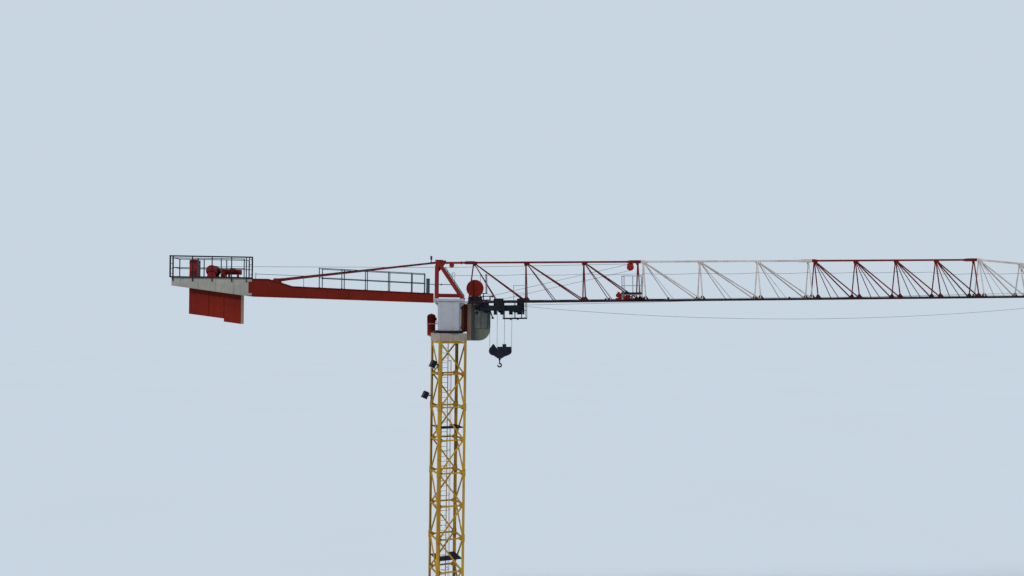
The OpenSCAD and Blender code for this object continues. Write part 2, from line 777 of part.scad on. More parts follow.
// Stand with a gearbox behind the drum, on two beams, and two shelves beside it
module auxiliary_winch_frame() {
    base = bottom_chord / 2 + seat;
    color(BLACK) on_jib() translate([drum_at[0], 0, 0]) {
        for (du = [-240, 660])
            box([du - 40, -jib_w / 2 + 10, base], [du + 40, jib_w / 2 - 10, base + 60]);
        for (s = [-1, 1]) box([-340, s * 200 - 40, base + 20], [840, s * 200 + 40, base + 90]);
        box([-170, 110, base + 20], [170, 240, drum_at[1] - 60]);
        cross_disc([0, 175, drum_at[1]], 190, 130);
        translate([0, 130, drum_at[1]]) rotate([90, 0, 0]) cylinder(h = 220, r = axle_r, $fn = 48);
        for (u = [300, 480]) for (s = [-1, 1])
            box([u, s * 200 - 20, base + 40], [u + 40, s * 200 + 20, u == 300 ? 540 : 500]);
        box([450, -240, 500], [730, 240, 540]);
        for (s = [-1, 1]) box([300, s * 200 - 20, 500], [460, s * 200 + 20, 540]);
        box([420, -260, 330], [930, 260, 370]);
        for (s = [-1, 1]) box([880, s * 240 - 20, base + 40], [920, s * 240 + 20, 350]);
        for (s = [-1, 1]) box([800, s * 220 - 40, base + 20], [930, s * 220 + 40, base + 90]);
    }
}

module auxiliary_drum() {
    color(RED) on_jib() translate([drum_at[0], 0, drum_at[1]]) rotate([90, 0, 0])
        rotate_extrude($fn = 96)
            polygon([[axle_r + seat, -70], [drum_r, -70], [drum_r, -50], [drum_r - 160, -40],
                     [drum_r - 160, 40], [drum_r, 50], [drum_r, 70], [axle_r + seat, 70]]);
}

module trolley_winch() {
    w0 = bottom_chord / 2 + seat;
    color(RED) on_jib() {
        for (u = [10250, 11150])
            box([u - 40, -jib_w / 2 + 10, w0], [u + 40, jib_w / 2 - 10, w0 + 60]);
        for (s = [-1, 1])
            box([10210, s * 200 - 30, w0], [11190, s * 200 + 30, w0 + 120]);
        cross_disc([10700, 0, w0 + 280], 170, 380);
        for (s = [-1, 1]) cross_disc([10700, s * 190, w0 + 280], 230, 20);
        translate([10330, 0, w0 + 280]) rotate([90, 0, 0])
            cylinder(h = 420, r = 120, center = true, $fn = 32);
        box([10330, -160, w0 + 60], [11000, 160, w0 + 140]);
        box([10400, -230, w0 + 100], [11000, -190, w0 + 300]);
        box([10400, 190, w0 + 100], [11000, 230, w0 + 300]);
    }
}

// A step out beside the trolley winch, on two brackets that stand on the near chord
module winch_platform() {
    edge = -jib_w / 2 - bottom_chord / 2;
    floor_w = 330;
    u0 = 10380;
    u1 = 11470;
    out = edge - 700;
    color(BLACK) on_jib() {
        for (u = [10450, 11050]) {
            box([u - 40, edge, bottom_chord / 2 + seat], [u + 40, edge + 70, floor_w]);
            box([u - 40, out, floor_w - 70], [u + 40, edge + 70, floor_w]);
        }
        box([u0, out, floor_w], [u1, edge - 80, floor_w + 30]);
        for (u = [u0, (u0 + u1) / 2 - 20, u1 - 40])
            box([u, out, floor_w], [u + 40, out + 40, floor_w + 1150]);
        for (u = [u0, u1 - 40])
            box([u, edge - 120, floor_w], [u + 40, edge - 80, floor_w + 1150]);
        for (w = [floor_w + 530, floor_w + 1110]) {
            box([u0, out, w], [u1, out + 40, w + 40]);
            for (u = [u0, u1 - 40]) box([u, out, w], [u + 40, edge - 80, w + 40]);
        }
    }
}

// Counter-jib

cj_front = -940;                                 // front end of the girders
cj_back = -11640;                                // joint between girders and rear frame
cj_rear = -15980;                                // rear end of the rear frame
cj_deck = flange_top + 1148;                     // top of the rear frame
cj_knee = [-9250, -10500];                       // foot and head of the girders' hump
cj_under = [-102, 118, 678] + [1, 1, 1] * flange_top;   // underside at front, back and rear end
cj_top_points = [[cj_back, cj_deck], [cj_knee[1], cj_deck], [cj_knee[0], flange_top + 748],
                 [cj_front, flange_top + 448]];
function cj_top(x) = lookup(x, cj_top_points);
function cj_bottom(x) = lookup(x, [[cj_rear, cj_under[2]], [cj_back, cj_under[1]],
                                   [cj_front, cj_under[0]]]);

// A flat piece of width w across the counter-jib, centred on y
module girder_strip(points, w, y) {
    translate([0, y, 0]) rotate([90, 0, 0]) linear_extrude(w, center = true) polygon(points);
}

module girder(y) {
    bottom = [[cj_front, cj_bottom(cj_front)], [cj_back, cj_bottom(cj_back)]];
    girder_strip(concat(cj_top_points, bottom), girder_t, y);
    for (i = [0:len(cj_top_points) - 2]) {
        a = cj_top_points[i];
        b = cj_top_points[i + 1];
        girder_strip([a, b, b - [0, girder_t], a - [0, girder_t]], girder_w, y);
    }
    girder_strip([bottom[0], bottom[1], bottom[1] + [0, girder_t], bottom[0] + [0, girder_t]],
                 girder_w, y);
}

beam_x = [for (i = [0:8]) -1100 - 1275 * i];     // cross beams under the walkway
tie_x = -10000;                                  // rear end of the tie bars
tie_z = cj_top(tie_x) + 130;

module counter_jib_girders() {
    color(RED) {
        for (s = [-1, 1]) {
            girder(s * girder_gap / 2);
            girder_strip([[tie_x - 260, cj_top(tie_x - 260) - 5], [tie_x - seat, cj_top(tie_x) - 5],
                          [tie_x - seat, tie_z + 70], [tie_x - 200, tie_z + 70]],
                         90, s * girder_gap / 2);
        }
        for (x = beam_x)
            box([x - 60, -girder_gap / 2, cj_bottom(x) + 60], [x + 60, girder_gap / 2, cj_bottom(x) + 200]);
    }
}

module counter_jib_walkway() {
    y = girder_gap / 2 - girder_w / 2 - 20;
    lift = 200 + seat + 1.3;
    color("silver") for (i = [0:len(beam_x) - 2]) {
        a = beam_x[i] - 5;
        b = beam_x[i + 1] + 5;
        girder_strip([[a, cj_bottom(a) + lift], [b, cj_bottom(b) + lift],
                      [b, cj_bottom(b) + lift + 30], [a, cj_bottom(a) + lift + 30]], 2 * y, 0);
    }
}

front_posts = [-1480, -2240, -3590, -4930, -6300, -7600];
rear_posts = [-11900, -13200, -14500, -15900];
post_h = 1150;

// Handrails along one side, with posts that stand on the girder or the rear frame
module handrail(posts, y) {
    last = posts[len(posts) - 1];
    for (x = posts)
        girder_strip([[x - 25, cj_top(x - 25) + seat], [x + 25, cj_top(x + 25) + seat],
                      [x + 25, cj_top(x) + post_h], [x - 25, cj_top(x) + post_h]], 50, y);
    for (h = [post_h / 2, post_h - 20])
        bar([posts[0], y, cj_top(posts[0]) + h], [last, y, cj_top(last) + h], 40);
}

module counter_jib_handrails() {
    last = rear_posts[len(rear_posts) - 1];
    color("silver") {
        for (s = [-1, 1]) {
            handrail(front_posts, s * girder_gap / 2);
            handrail(rear_posts, s * girder_gap / 2);
        }
        for (h = [post_h / 2, post_h - 20])
            bar([last, -girder_gap / 2, cj_deck + h], [last, girder_gap / 2, cj_deck + h], 40);
        girder_strip([[-1370, cj_top(-1370) + seat], [-1160, cj_top(-1160) + seat],
                      [-1160, cj_top(-1160) + 860], [-1370, cj_top(-1160) + 860]],
                     120, -girder_gap / 2);
    }
}

module tie_bars() {
    head = post_x - 110 - seat;
    color(RED) difference() {
        for (s = [-1, 1])
            bar([tie_x - 100, s * girder_gap / 2, tie_z - 13], [head + 100, s * 80, apex_z - 87], 90);
        box([tie_x - 1000, -1000, tie_z - 1000], [tie_x, 1000, tie_z + 1000]);
        box([head, -1000, apex_z - 1000], [head + 1000, 1000, apex_z + 1000]);
    }
}

ballast_x = [-15070, -13950, -13090, -12110];
ballast_gap = 12;

module rear_frame() {
    color("gainsboro") {
        for (s = [-1, 1])
            girder_strip([[cj_back - seat, cj_deck], [cj_rear, cj_deck], [cj_rear, cj_under[2]],
                          [cj_back - seat, cj_under[1]]], 60, s * girder_gap / 2);
        box([cj_rear + 5, -girder_gap / 2, cj_deck - 30], [cj_back - seat, girder_gap / 2, cj_deck]);
        for (x = [-11800, -12900, -13900, -14900, -15900])
            box([x - 60, -girder_gap / 2, cj_deck - 160], [x + 60, girder_gap / 2, cj_deck]);
        for (i = [0:2], f = [0.25, 0.75]) {
            x = ballast_x[i] + f * (ballast_x[i + 1] - ballast_x[i]);
            girder_strip([[x - 60, cj_bottom(x - 60)], [x + 60, cj_bottom(x + 60)],
                          [x + 60, cj_bottom(x) + 140], [x - 60, cj_bottom(x) + 140]], girder_gap, 0);
        }
    }
}

module ballast_slabs() {
    color(RED) for (i = [0:2]) {
        a = ballast_x[i] + ballast_gap / 2;
        b = ballast_x[i + 1] - ballast_gap / 2;
        h = i == 2 ? ballast_inner_h : ballast_h;
        girder_strip([[a, cj_bottom(a) - seat], [b, cj_bottom(b) - seat],
                      [b, cj_bottom(b) - h], [a, cj_bottom(a) - h]], ballast_t, 0);
    }
}

hoist_at = [-13800, cj_deck + 430];              // axle of the hoist drum
hoist_r = 250;

module hoist_winch() {
    z0 = cj_deck + seat;
    color(RED) {
        for (s = [-1, 1]) {
            box([-14450, s * 400 - 50, z0], [-12150, s * 400 + 50, z0 + 90]);
            girder_strip([[hoist_at[0] - 260, z0 + 80], [hoist_at[0] + 260, z0 + 80],
                          [hoist_at[0] + 90, hoist_at[1] + 90], [hoist_at[0] - 90, hoist_at[1] + 90]],
                         30, s * 390);
        }
        for (x = [-14400, -13350, -12250])
            box([x - 45, -400, z0], [x + 45, 400, z0 + 70]);
        cross_disc([hoist_at[0], 0, hoist_at[1]], axle_r, 800);
        box([-13400, 60, z0 + 60], [-13150, 380, z0 + 560]);
        translate([-13160, 220, z0 + 400]) rotate([0, 90, 0]) cylinder(h = 900, r = 140, $fn = 48);
        for (x = [-12950, -12450]) box([x - 40, 100, z0 + 60], [x + 40, 340, z0 + 300]);
        box([-13400, 60, z0], [-12200, 380, z0 + 90]);
    }
}

module hoist_drum() {
    color(BLACK) translate([hoist_at[0], 0, hoist_at[1]]) rotate([90, 0, 0])
        rotate_extrude($fn = 64)
            polygon([[axle_r + seat, -350], [hoist_r + 80, -350], [hoist_r + 80, -325],
                     [hoist_r, -320], [hoist_r, 320], [hoist_r + 80, 325], [hoist_r + 80, 350],
                     [axle_r + seat, 350]]);
}

module control_cabinet() {
    z0 = cj_deck + seat;
    color(RED) {
        box([-15050, -350, z0], [-14640, 350, z0 + 1020]);
        box([-14990, -290, z0 + 1010], [-14700, 290, z0 + 1100]);
    }
}

module sign_frame() {
    y1 = -girder_gap / 2 - 30 - seat;
    y0 = y1 - 50;
    x0 = cj_rear - 90;
    x1 = cj_back + 240;
    color("black") {
        for (x = [-15900, -14800, -13700, -12600, -11760])
            box([x - 25, y0, cj_deck - 200], [x + 25, y1, cj_deck + 1250]);
        for (z = [cj_deck + 10, cj_deck + 1210])
            box([x0, y0, z], [x1, y1, z + 50]);
        for (x = [x0, x1 - 50])
            box([x, y0, cj_deck + 10], [x + 50, y1, cj_deck + 1260]);
    }
}

// Trolley and hook

sheave_w = -430;
sheave_pitch = 880;
bracket_u = [-150, 1190];                        // centres of the roller brackets from the trolley's
bracket_l = [520, 320];                          // and their lengths
axle_w = rail_t - bottom_chord / 2 + seat + roller_r;   // height of the rollers' centres
guide_w = -770;                                  // foot of the straps that guide the hook block

// A side bracket with a hood over its roller, and two straps down
module roller_bracket(u, l, y) {
    k = sign(y);
    hood_w = axle_w + roller_r + 24;
    translate([u, y, 0]) {
        translate([-l / 2, -plate_t / 2, -360]) cube([l, plate_t, 360 + hood_w]);
        translate([-l / 2, k > 0 ? -plate_t / 2 - 60 : -plate_t / 2, hood_w]) cube([l, plate_t + 60, 40]);
        for (a = [-l / 2, l / 2 - 120])
            translate([a, -plate_t / 2, guide_w]) cube([120, plate_t, -guide_w]);
    }
}

// The cheek that carries one rope sheave, under the trolley's beams
module sheave_cheek(u, y) {
    translate([u, y, 0]) rotate([90, 0, 0]) linear_extrude(gusset_t, center = true) {
        polygon([[-190, -320], [190, -320], [80, sheave_w - 30], [-80, sheave_w - 30]]);
        translate([0, sheave_w]) circle(r = 85, $fn = 32);
    }
}

// Rope sheaves from the inner end: place along the trolley, height, radius and axle radius
rope_guides = [[-1450, -300, 45, 22], [-1230, -250, 120, axle_r],
               for (k = [-1:1]) [k * sheave_pitch, sheave_w, sheave_r, axle_r]];

module trolley_frame() {
    beam_y = 90;
    l = trolley_l / 2;
    inner = rope_guides[0][0] - 110;
    color(BLACK) on_jib() translate([trolley_u, 0, 0]) {
        for (s = [-1, 1]) {
            y = s * (plate_in + plate_t / 2);
            for (i = [0, 1]) roller_bracket(bracket_u[i], bracket_l[i], y);
            box([-l / 2, y - plate_t / 2, -330], [l, y + plate_t / 2, -210]);
            box([530, y - plate_t / 2, guide_w], [650, y + plate_t / 2, -300]);
            box([inner, s * beam_y - 14, -350], [l, s * beam_y + 14, -200]);
            for (k = [-1, 0, 1]) sheave_cheek(k * sheave_pitch, s * (beam_y - 14 - gusset_t / 2 + 5));
            bar([-650, s * (plate_in + plate_t / 2), -270], [-l - 120, s * (beam_y + 5), -270], 70);
        }
        for (u = [-0.4, 0.45, 1.36] * sheave_pitch)
            translate([u, 0, -270]) cube([100, 2 * plate_in + 20, 100], center = true);
        for (u = [inner + 15, l - 40]) translate([u, 0, -275]) cube([30, 2 * beam_y, 110], center = true);
        for (g = rope_guides) cross_disc([g[0], 0, g[1]], g[3], 2 * beam_y);
        box([-1490, -beam_y - 14, -600], [-1440, -beam_y + 14, -300]);
        cross_disc([-1465, -beam_y, -620], 75, 70);
        bar([-740, -beam_y - 10, -300], [-520, -beam_y - 10, -960], 40);
        cross_disc([-520, -beam_y - 10, -960], 60, 60);
    }
}

module trolley_rollers() {
    y0 = jib_w / 2 + bottom_chord / 2 + 12;
    y1 = plate_in - seat;
    color(BLACK) on_jib() translate([trolley_u, 0, axle_w])
        for (i = [0, 1], s = [-1, 1])
            cross_disc([bracket_u[i], s * (y0 + y1) / 2, 0], roller_r, y1 - y0);
}

module trolley_sheaves() {
    color(BLACK) on_jib() translate([trolley_u, 0, 0])
        for (g = rope_guides) sheave([g[0], 0, g[1]], g[2], 70, g[3] + seat);
}

// A railed basket beside the trolley, held by two arms on the near side plate
module maintenance_basket() {
    y1 = -plate_in - plate_t - seat;
    inner = y1 - 110;
    outer = inner - 680;
    u0 = 40;
    u1 = 1430;
    floor_w = -1040;
    rod = 30;
    color(BLACK) on_jib() translate([trolley_u, 0, 0]) {
        box([u0, outer, floor_w], [u1, inner, floor_w + 30]);
        for (y = [outer, inner - rod]) box([u0, y, floor_w], [u1, y + rod, floor_w + 90]);
        for (u = [u0, (u0 + u1) / 2 - rod / 2, u1 - rod], y = [outer, inner - rod])
            box([u, y, floor_w], [u + rod, y + rod, -40]);
        for (w = [floor_w + 480, -40 - rod]) {
            for (y = [outer, inner - rod]) box([u0, y, w], [u1, y + rod, w + rod]);
            for (u = [u0, u1 - rod]) box([u, outer, w], [u + rod, inner, w + rod]);
        }
        for (u = [450, 870]) box([u, outer + 60, floor_w - 50], [u + 60, inner - 60, floor_w]);
        for (u = [u0 + 60, bracket_u[1] - 50]) {
            box([u, inner - 30, floor_w], [u + 50, inner, -40]);
            box([u, inner - 20, -320], [u + 50, y1, -220]);
        }
    }
}

sheave_z = jib_z + trolley_u * sin(jib_rise) + sheave_w * cos(jib_rise);
hook_x = trolley_u * cos(jib_rise) - sheave_w * sin(jib_rise);
hook_z = sheave_z - hook_drop;                   // height of the hook block's sheave axles

module hoist_ropes() {
    color(BLACK) for (k = [-1, 1], s = [-1, 1])
        translate([hook_x + k * sheave_pitch / 2 + s * (sheave_pitch / 4), 0, hook_z])
            cylinder(h = hook_drop, r = rope_r, $fn = 8);
}

// Outline of a cheek plate: a round lobe with a peak on the left, a plate with a tab on the right
module cheek_outline() {
    a = sheave_pitch / 2;
    translate([-a, 0]) circle(r = sheave_r + 60, $fn = 64);
    polygon([[-a - 190, 190], [-a - 20, 420], [-a + 20, 420], [-a + 190, 190]]);
    polygon([[-a + 245, 260], [115, 260], [115, 420], [340, 420], [340, 260], [a + 208, 260],
             [a + 208, -105], [a + 40, -250], [270, -320], [60, -450], [-160, -450], [-a, -270],
             [-a + 245, -100]]);
}

module hook_block() {
    gap = 82;                                    // between the two cheeks
    color(BLACK) translate([hook_x, 0, hook_z]) {
        for (s = [-1, 1])
            translate([0, s * (gap + gusset_t) / 2, 0]) rotate([90, 0, 0])
                linear_extrude(gusset_t, center = true) cheek_outline();
        for (k = [-1, 1]) {
            cross_disc([k * sheave_pitch / 2, 0, 0], axle_r, gap + 10);
            for (s = [-1, 1]) cross_disc([k * sheave_pitch / 2, s * (gap / 2 + gusset_t + 8), 0], 62, 20);
        }
        box([-150, -gap / 2 - 5, -450], [50, gap / 2 + 5, -370]);
        box([-30, -gap / 2 - 5, -60], [30, gap / 2 + 5, 60]);
        translate([-50, 0, -490]) cylinder(h = 60, r = 70, $fn = 48);
    }
}

module hook_sheaves() {
    color(BLACK) translate([hook_x, 0, hook_z])
        for (k = [-1, 1]) sheave([k * sheave_pitch / 2, 0, 0], sheave_r, 70, axle_r + seat);
}

hook_eye = 105;                                  // radius of the hook's bowl, to its middle line

// Collar, shank, bowl and tip of the hook
module hook() {
    color(BLACK) translate([hook_x - 50, 0, hook_z - 490 - seat]) {
        translate([0, 0, -50]) cylinder(h = 50, r = 62, $fn = 48);
        translate([0, 0, -250]) cylinder(h = 210, r = 34, $fn = 48);
        translate([0, 0, -260 - hook_eye]) rotate([90, 0, 0]) rotate([0, 0, -160]) {
            rotate_extrude(angle = 275, $fn = 48) translate([hook_eye, 0]) circle(r = 42, $fn = 32);
            translate([hook_eye, 0, 0]) rotate([90, 0, 0]) cylinder(h = 60, r1 = 42, r2 = 20, $fn = 32);
        }
    }
}

at_scale() base_frame();
at_scale() mast_legs();
at_scale() mast_side(0);  // mast_front_side
at_scale() mast_side(180);  // mast_back_side
at_scale() mast_side(270);  // mast_left_side
at_scale() mast_side(90);  // mast_right_side
at_scale() mast_ladder();
at_scale() mast_platforms();
at_scale() mast_floodlights();
at_scale() slewing_support();
at_scale() slewing_ring_lower();
at_scale() slewing_ring_upper();
at_scale() turntable();
at_scale() slewing_gear_motor();
at_scale() cab_support_frame();
at_scale() cab_body();
at_scale() cab_windows();
at_scale() head_frame();
at_scale() jib_top_chord_red();
at_scale() jib_top_chord_white();
at_scale() jib_near_side_red();
at_scale() jib_near_side_white();
at_scale() jib_far_side_red();
at_scale() jib_far_side_white();
at_scale() jib_floor_red();
at_scale() jib_floor_white();
at_scale() jib_nose();
at_scale() rope_sheaves();
at_scale() auxiliary_winch_frame();
at_scale() auxiliary_drum();
at_scale() trolley_winch();
at_scale() winch_platform();
at_scale() counter_jib_girders();
at_scale() counter_jib_walkway();
at_scale() counter_jib_handrails();
at_scale() tie_bars();
at_scale() rear_frame();
at_scale() ballast_slabs();
at_scale() hoist_winch();
at_scale() hoist_drum();
at_scale() control_cabinet();
at_scale() sign_frame();
at_scale() trolley_frame();
at_scale() trolley_rollers();
at_scale() trolley_sheaves();
at_scale() maintenance_basket();
at_scale() hoist_ropes();
at_scale() hook_block();
at_scale() hook_sheaves();
at_scale() hook();
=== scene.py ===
"""Looks of the tower crane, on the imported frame. Sizes are the real crane's in mm; this one is 1:2."""
import json
from itertools import product
from math import asin, cos, radians, sin

import bmesh
import bpy
from mathutils import Matrix, Vector

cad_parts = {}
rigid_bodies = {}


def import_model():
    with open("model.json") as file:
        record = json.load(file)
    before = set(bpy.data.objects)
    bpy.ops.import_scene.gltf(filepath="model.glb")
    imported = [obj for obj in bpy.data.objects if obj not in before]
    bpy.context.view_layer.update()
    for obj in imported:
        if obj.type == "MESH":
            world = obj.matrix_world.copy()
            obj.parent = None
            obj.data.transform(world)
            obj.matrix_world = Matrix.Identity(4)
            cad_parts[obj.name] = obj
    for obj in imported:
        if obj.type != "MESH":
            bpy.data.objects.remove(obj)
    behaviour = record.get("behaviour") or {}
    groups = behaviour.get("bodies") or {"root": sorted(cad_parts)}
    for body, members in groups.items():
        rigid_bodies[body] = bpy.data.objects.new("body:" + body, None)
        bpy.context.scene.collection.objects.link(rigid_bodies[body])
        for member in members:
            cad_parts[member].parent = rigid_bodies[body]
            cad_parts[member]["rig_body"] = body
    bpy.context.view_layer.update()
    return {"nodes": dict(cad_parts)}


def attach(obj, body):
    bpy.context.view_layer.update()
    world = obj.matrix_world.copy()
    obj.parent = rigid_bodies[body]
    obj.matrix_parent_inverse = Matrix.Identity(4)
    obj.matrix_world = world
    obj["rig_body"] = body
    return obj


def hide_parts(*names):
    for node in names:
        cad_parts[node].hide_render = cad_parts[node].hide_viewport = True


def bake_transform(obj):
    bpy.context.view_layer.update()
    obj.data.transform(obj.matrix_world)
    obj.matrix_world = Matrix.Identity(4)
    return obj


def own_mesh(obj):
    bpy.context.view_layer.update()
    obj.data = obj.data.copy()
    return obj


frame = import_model()
nodes = frame["nodes"]
scene = bpy.context.scene

# Camera at the photograph's viewing angle

PHOTO_WIDTH, FOCAL, RISE = 1024, 800, 28.5  # in pixels
SENSOR = 36
cam = bpy.data.objects.new("camera", bpy.data.cameras.new("camera"))
scene.collection.objects.link(cam)
cam.data.sensor_width = SENSOR
cam.data.lens = FOCAL / PHOTO_WIDTH * SENSOR
cam.data.shift_y = RISE / PHOTO_WIDTH
cam.data.clip_end = 3000
cam.matrix_world = (Matrix.Translation((-0.12, -24.1, 12.46))
                    @ Matrix.Rotation(-radians(4.787), 4, "Z")
                    @ Matrix.Rotation(radians(90), 4, "X")
                    @ Matrix.Rotation(radians(0.7), 4, "Z"))
scene.camera = cam

# Light and stage

scene.view_settings.view_transform = "Standard"
world = bpy.data.worlds.new("studio")
scene.world = world
world.use_nodes = True
tree = world.node_tree
tree.nodes.clear()
w_out, w_light, w_shown, w_path, w_a, w_b, w_mix = (tree.nodes.new("ShaderNode" + kind) for kind in (
    "OutputWorld", "Background", "Background", "LightPath", "Math", "Math", "MixShader"))
w_light.inputs["Color"].default_value = (0.84, 0.92, 1.0, 1)
w_light.inputs["Strength"].default_value = 0.55
w_shown.inputs["Color"].default_value = (0.58, 0.67, 0.76, 1)
w_a.operation = w_b.operation = "MAXIMUM"
for a, b in ((w_path.outputs["Is Camera Ray"], w_a.inputs[0]),
             (w_path.outputs["Is Glossy Ray"], w_a.inputs[1]),
             (w_a.outputs[0], w_b.inputs[0]),
             (w_path.outputs["Is Transmission Ray"], w_b.inputs[1]),
             (w_b.outputs[0], w_mix.inputs[0]),
             (w_light.outputs[0], w_mix.inputs[1]),
             (w_shown.outputs[0], w_mix.inputs[2]),
             (w_mix.outputs[0], w_out.inputs[0])):
    tree.links.new(a, b)

sun = bpy.data.objects.new("sun", bpy.data.lights.new("sun", "SUN"))
scene.collection.objects.link(sun)
sun.data.energy = 2.7
sun.data.angle = radians(8)
sun.data.color = (1.0, 0.96, 0.90)
sun.rotation_euler = (radians(50), 0, radians(-40))


# Material building blocks

class Mat:
    """One procedural material: a principled shader, with helpers that add nodes to it."""

    def __init__(self, name, metallic=0.0, ior=1.45, shine=0.5):
        self.m = bpy.data.materials.new(name)
        self.m.use_nodes = True
        self.t = self.m.node_tree
        self.bsdf = self.t.nodes["Principled BSDF"]
        for socket, value in (("Metallic", metallic), ("IOR", ior), ("Specular IOR Level", shine)):
            self.put(self.bsdf.inputs[socket], value)
        self.coord = self.node("ShaderNodeTexCoord").outputs["Object"]

    def node(self, kind, sockets=(), **values):
        """A node with its own values, and with some of its sockets set or linked."""
        n = self.t.nodes.new(kind)
        for k, v in values.items():
            setattr(n, k, v)
        for socket, value in dict(sockets).items():
            self.put(n.inputs[socket], value)
        return n

    def put(self, socket, value):
        if isinstance(value, (int, float)):
            socket.default_value = value
        elif isinstance(value, tuple):
            socket.default_value = (*value, 1)
        else:
            self.t.links.new(value, socket)

    def noise(self, scale, detail=4, rough=0.55, stretch=None, distortion=0.0):
        source = self.coord
        if stretch:
            mapping = self.node("ShaderNodeMapping", {"Vector": source})
            mapping.inputs["Scale"].default_value = stretch
            source = mapping.outputs[0]
        return self.node("ShaderNodeTexNoise", {"Scale": scale, "Detail": detail, "Roughness": rough,
                                                "Distortion": distortion,
                                                "Vector": source}).outputs["Fac"]

    def ramp(self, fac, low, high):
        return self.node("ShaderNodeMapRange", {"From Min": low, "From Max": high, "Value": fac},
                         interpolation_type="SMOOTHSTEP").outputs[0]

    def mix(self, fac, a, b, blend="MIX"):
        return self.node("ShaderNodeMix", {0: fac, 6: a, 7: b}, data_type="RGBA",
                         blend_type=blend).outputs[2]

    def math(self, op, a, b=0.0, clamp=False):
        return self.node("ShaderNodeMath", {0: a, 1: b}, operation=op, use_clamp=clamp).outputs[0]

    def times(self, a, b):
        return self.math("MULTIPLY", a, b)

    def along(self, axis):
        return self.node("ShaderNodeSeparateXYZ", {0: self.coord}).outputs[axis]

    def facing_up(self):
        normal = self.node("ShaderNodeNewGeometry").outputs["Normal"]
        return self.node("ShaderNodeSeparateXYZ", {0: normal}).outputs["Z"]

    def bump(self, height, distance, strength, before=None):
        sockets = {"Distance": distance, "Strength": strength, "Height": height}
        if before is not None:
            sockets["Normal"] = before
        return self.node("ShaderNodeBump", sockets).outputs[0]

    def done(self, colour, rough, normal):
        for socket, value in (("Base Color", colour), ("Roughness", rough), ("Normal", normal)):
            self.put(self.bsdf.inputs[socket], value)
        return self.m


def paint(name, colour, fade, grime=(0.05, 0.035, 0.025), rust=(0.13, 0.040, 0.015),
          rust_amount=0.5, grime_amount=0.5, rough=0.5, dust=None, split=None):
    """Outdoor paint: faded in patches, with orange peel, run-down grime, dust on top, chips and rust.

    split is (axis, place in metres, colour, fade): past that place the colour is another one, a second
    paint on the head and painted shade on the cab's column."""
    m = Mat(name, shine=0.1)
    big = m.ramp(m.noise(0.8, 3), 0.36, 0.66)
    fine = m.noise(42, 3, 0.6)
    c = m.mix(big, colour, fade)
    if split:
        other = m.mix(big, split[2], split[3])
        c = m.mix(m.math("GREATER_THAN", m.along(split[0]), split[1]), c, other)
    mottle = m.times(m.ramp(m.noise(6.5, 5, 0.62), 0.45, 0.75), 0.35)
    c = m.mix(mottle, c, (0.62, 0.60, 0.60), "MULTIPLY")
    run = m.ramp(m.noise(6.0, 4, 0.6, stretch=(2.6, 2.6, 0.2)), 0.52, 0.74)
    c = m.mix(m.times(run, grime_amount), c, grime)
    if dust:
        top = m.times(m.ramp(m.facing_up(), 0.4, 0.95), m.ramp(m.noise(3, 4), 0.3, 0.7))
        c = m.mix(m.times(top, 0.6), c, dust)
    spots = m.ramp(m.noise(15, 5, 0.7, distortion=0.3), 0.585, 0.65)
    chip = m.times(spots, m.ramp(m.noise(1.9, 3), 0.44, 0.60))
    c = m.mix(m.times(chip, rust_amount), c, rust)
    r = m.math("ADD", m.times(fine, 0.24), rough - 0.12)
    r = m.math("ADD", r, m.times(chip, 0.3 * rust_amount), clamp=True)
    n = m.bump(fine, 0.0012, 0.35)
    n = m.bump(chip, 0.001, 0.35, before=n)
    return m.done(c, r, n)


def steel(name, colour, dark, rough=0.5, metallic=0.0, grease=0.5, shine=0.1):
    """Dark or galvanised steel with mottling, grease patches and fine grain."""
    m = Mat(name, metallic=metallic, shine=shine)
    fine = m.noise(60, 4, 0.65)
    patch = m.noise(5, 4, 0.6)
    c = m.mix(m.ramp(patch, 0.38, 0.64), colour, dark)
    c = m.mix(m.times(m.ramp(fine, 0.4, 0.7), grease), c, tuple(x * 0.5 for x in dark))
    r = m.math("ADD", m.times(patch, 0.35), rough - 0.17, clamp=True)
    return m.done(c, r, m.bump(fine, 0.0009, 0.3))


DUST = (0.30, 0.26, 0.20)
YELLOW = paint("yellow_paint", (0.38, 0.225, 0.018), (0.29, 0.155, 0.015), rust=(0.14, 0.042, 0.012),
               rust_amount=0.8, grime=(0.11, 0.058, 0.018), dust=(0.20, 0.16, 0.10))
CREAM = paint("cream_paint", (0.27, 0.235, 0.195), (0.20, 0.17, 0.14), rust=(0.12, 0.055, 0.028),
              rust_amount=0.6, grime=(0.11, 0.08, 0.055), dust=DUST)
WHITE = paint("white_paint", (0.27, 0.265, 0.24), (0.215, 0.21, 0.19), grime=(0.12, 0.105, 0.085),
              rust=(0.11, 0.055, 0.028), rust_amount=0.6, grime_amount=0.35, dust=DUST)
GREY = (0.28, 0.30, 0.34), (0.245, 0.262, 0.30)
PANEL = paint("panel_paint", *GREY, grime=(0.17, 0.165, 0.16), rust=(0.16, 0.11, 0.075),
              rust_amount=0.2, grime_amount=0.25, dust=DUST)
# Bare concrete of the ballast's end face, made brighter than its own colour: the extra brightness is
# painted sunlight on a face that lies in shade.
SUNLIT_CONCRETE = paint("bare_concrete_painted_sunlit", (0.42, 0.29, 0.19), (0.35, 0.235, 0.15), grime=(0.19, 0.13, 0.09),
            rust_amount=0.2, rough=0.8)
JIB_WHITE = paint("jib_white_paint", (0.46, 0.43, 0.42), (0.34, 0.30, 0.29), grime=(0.20, 0.11, 0.08),
                  rust=(0.20, 0.065, 0.035), rust_amount=0.7, grime_amount=0.6)
RED = paint("red_paint", (0.190, 0.011, 0.007), (0.145, 0.009, 0.007), grime=(0.05, 0.007, 0.006),
            rust=(0.10, 0.024, 0.009), dust=(0.16, 0.06, 0.045))
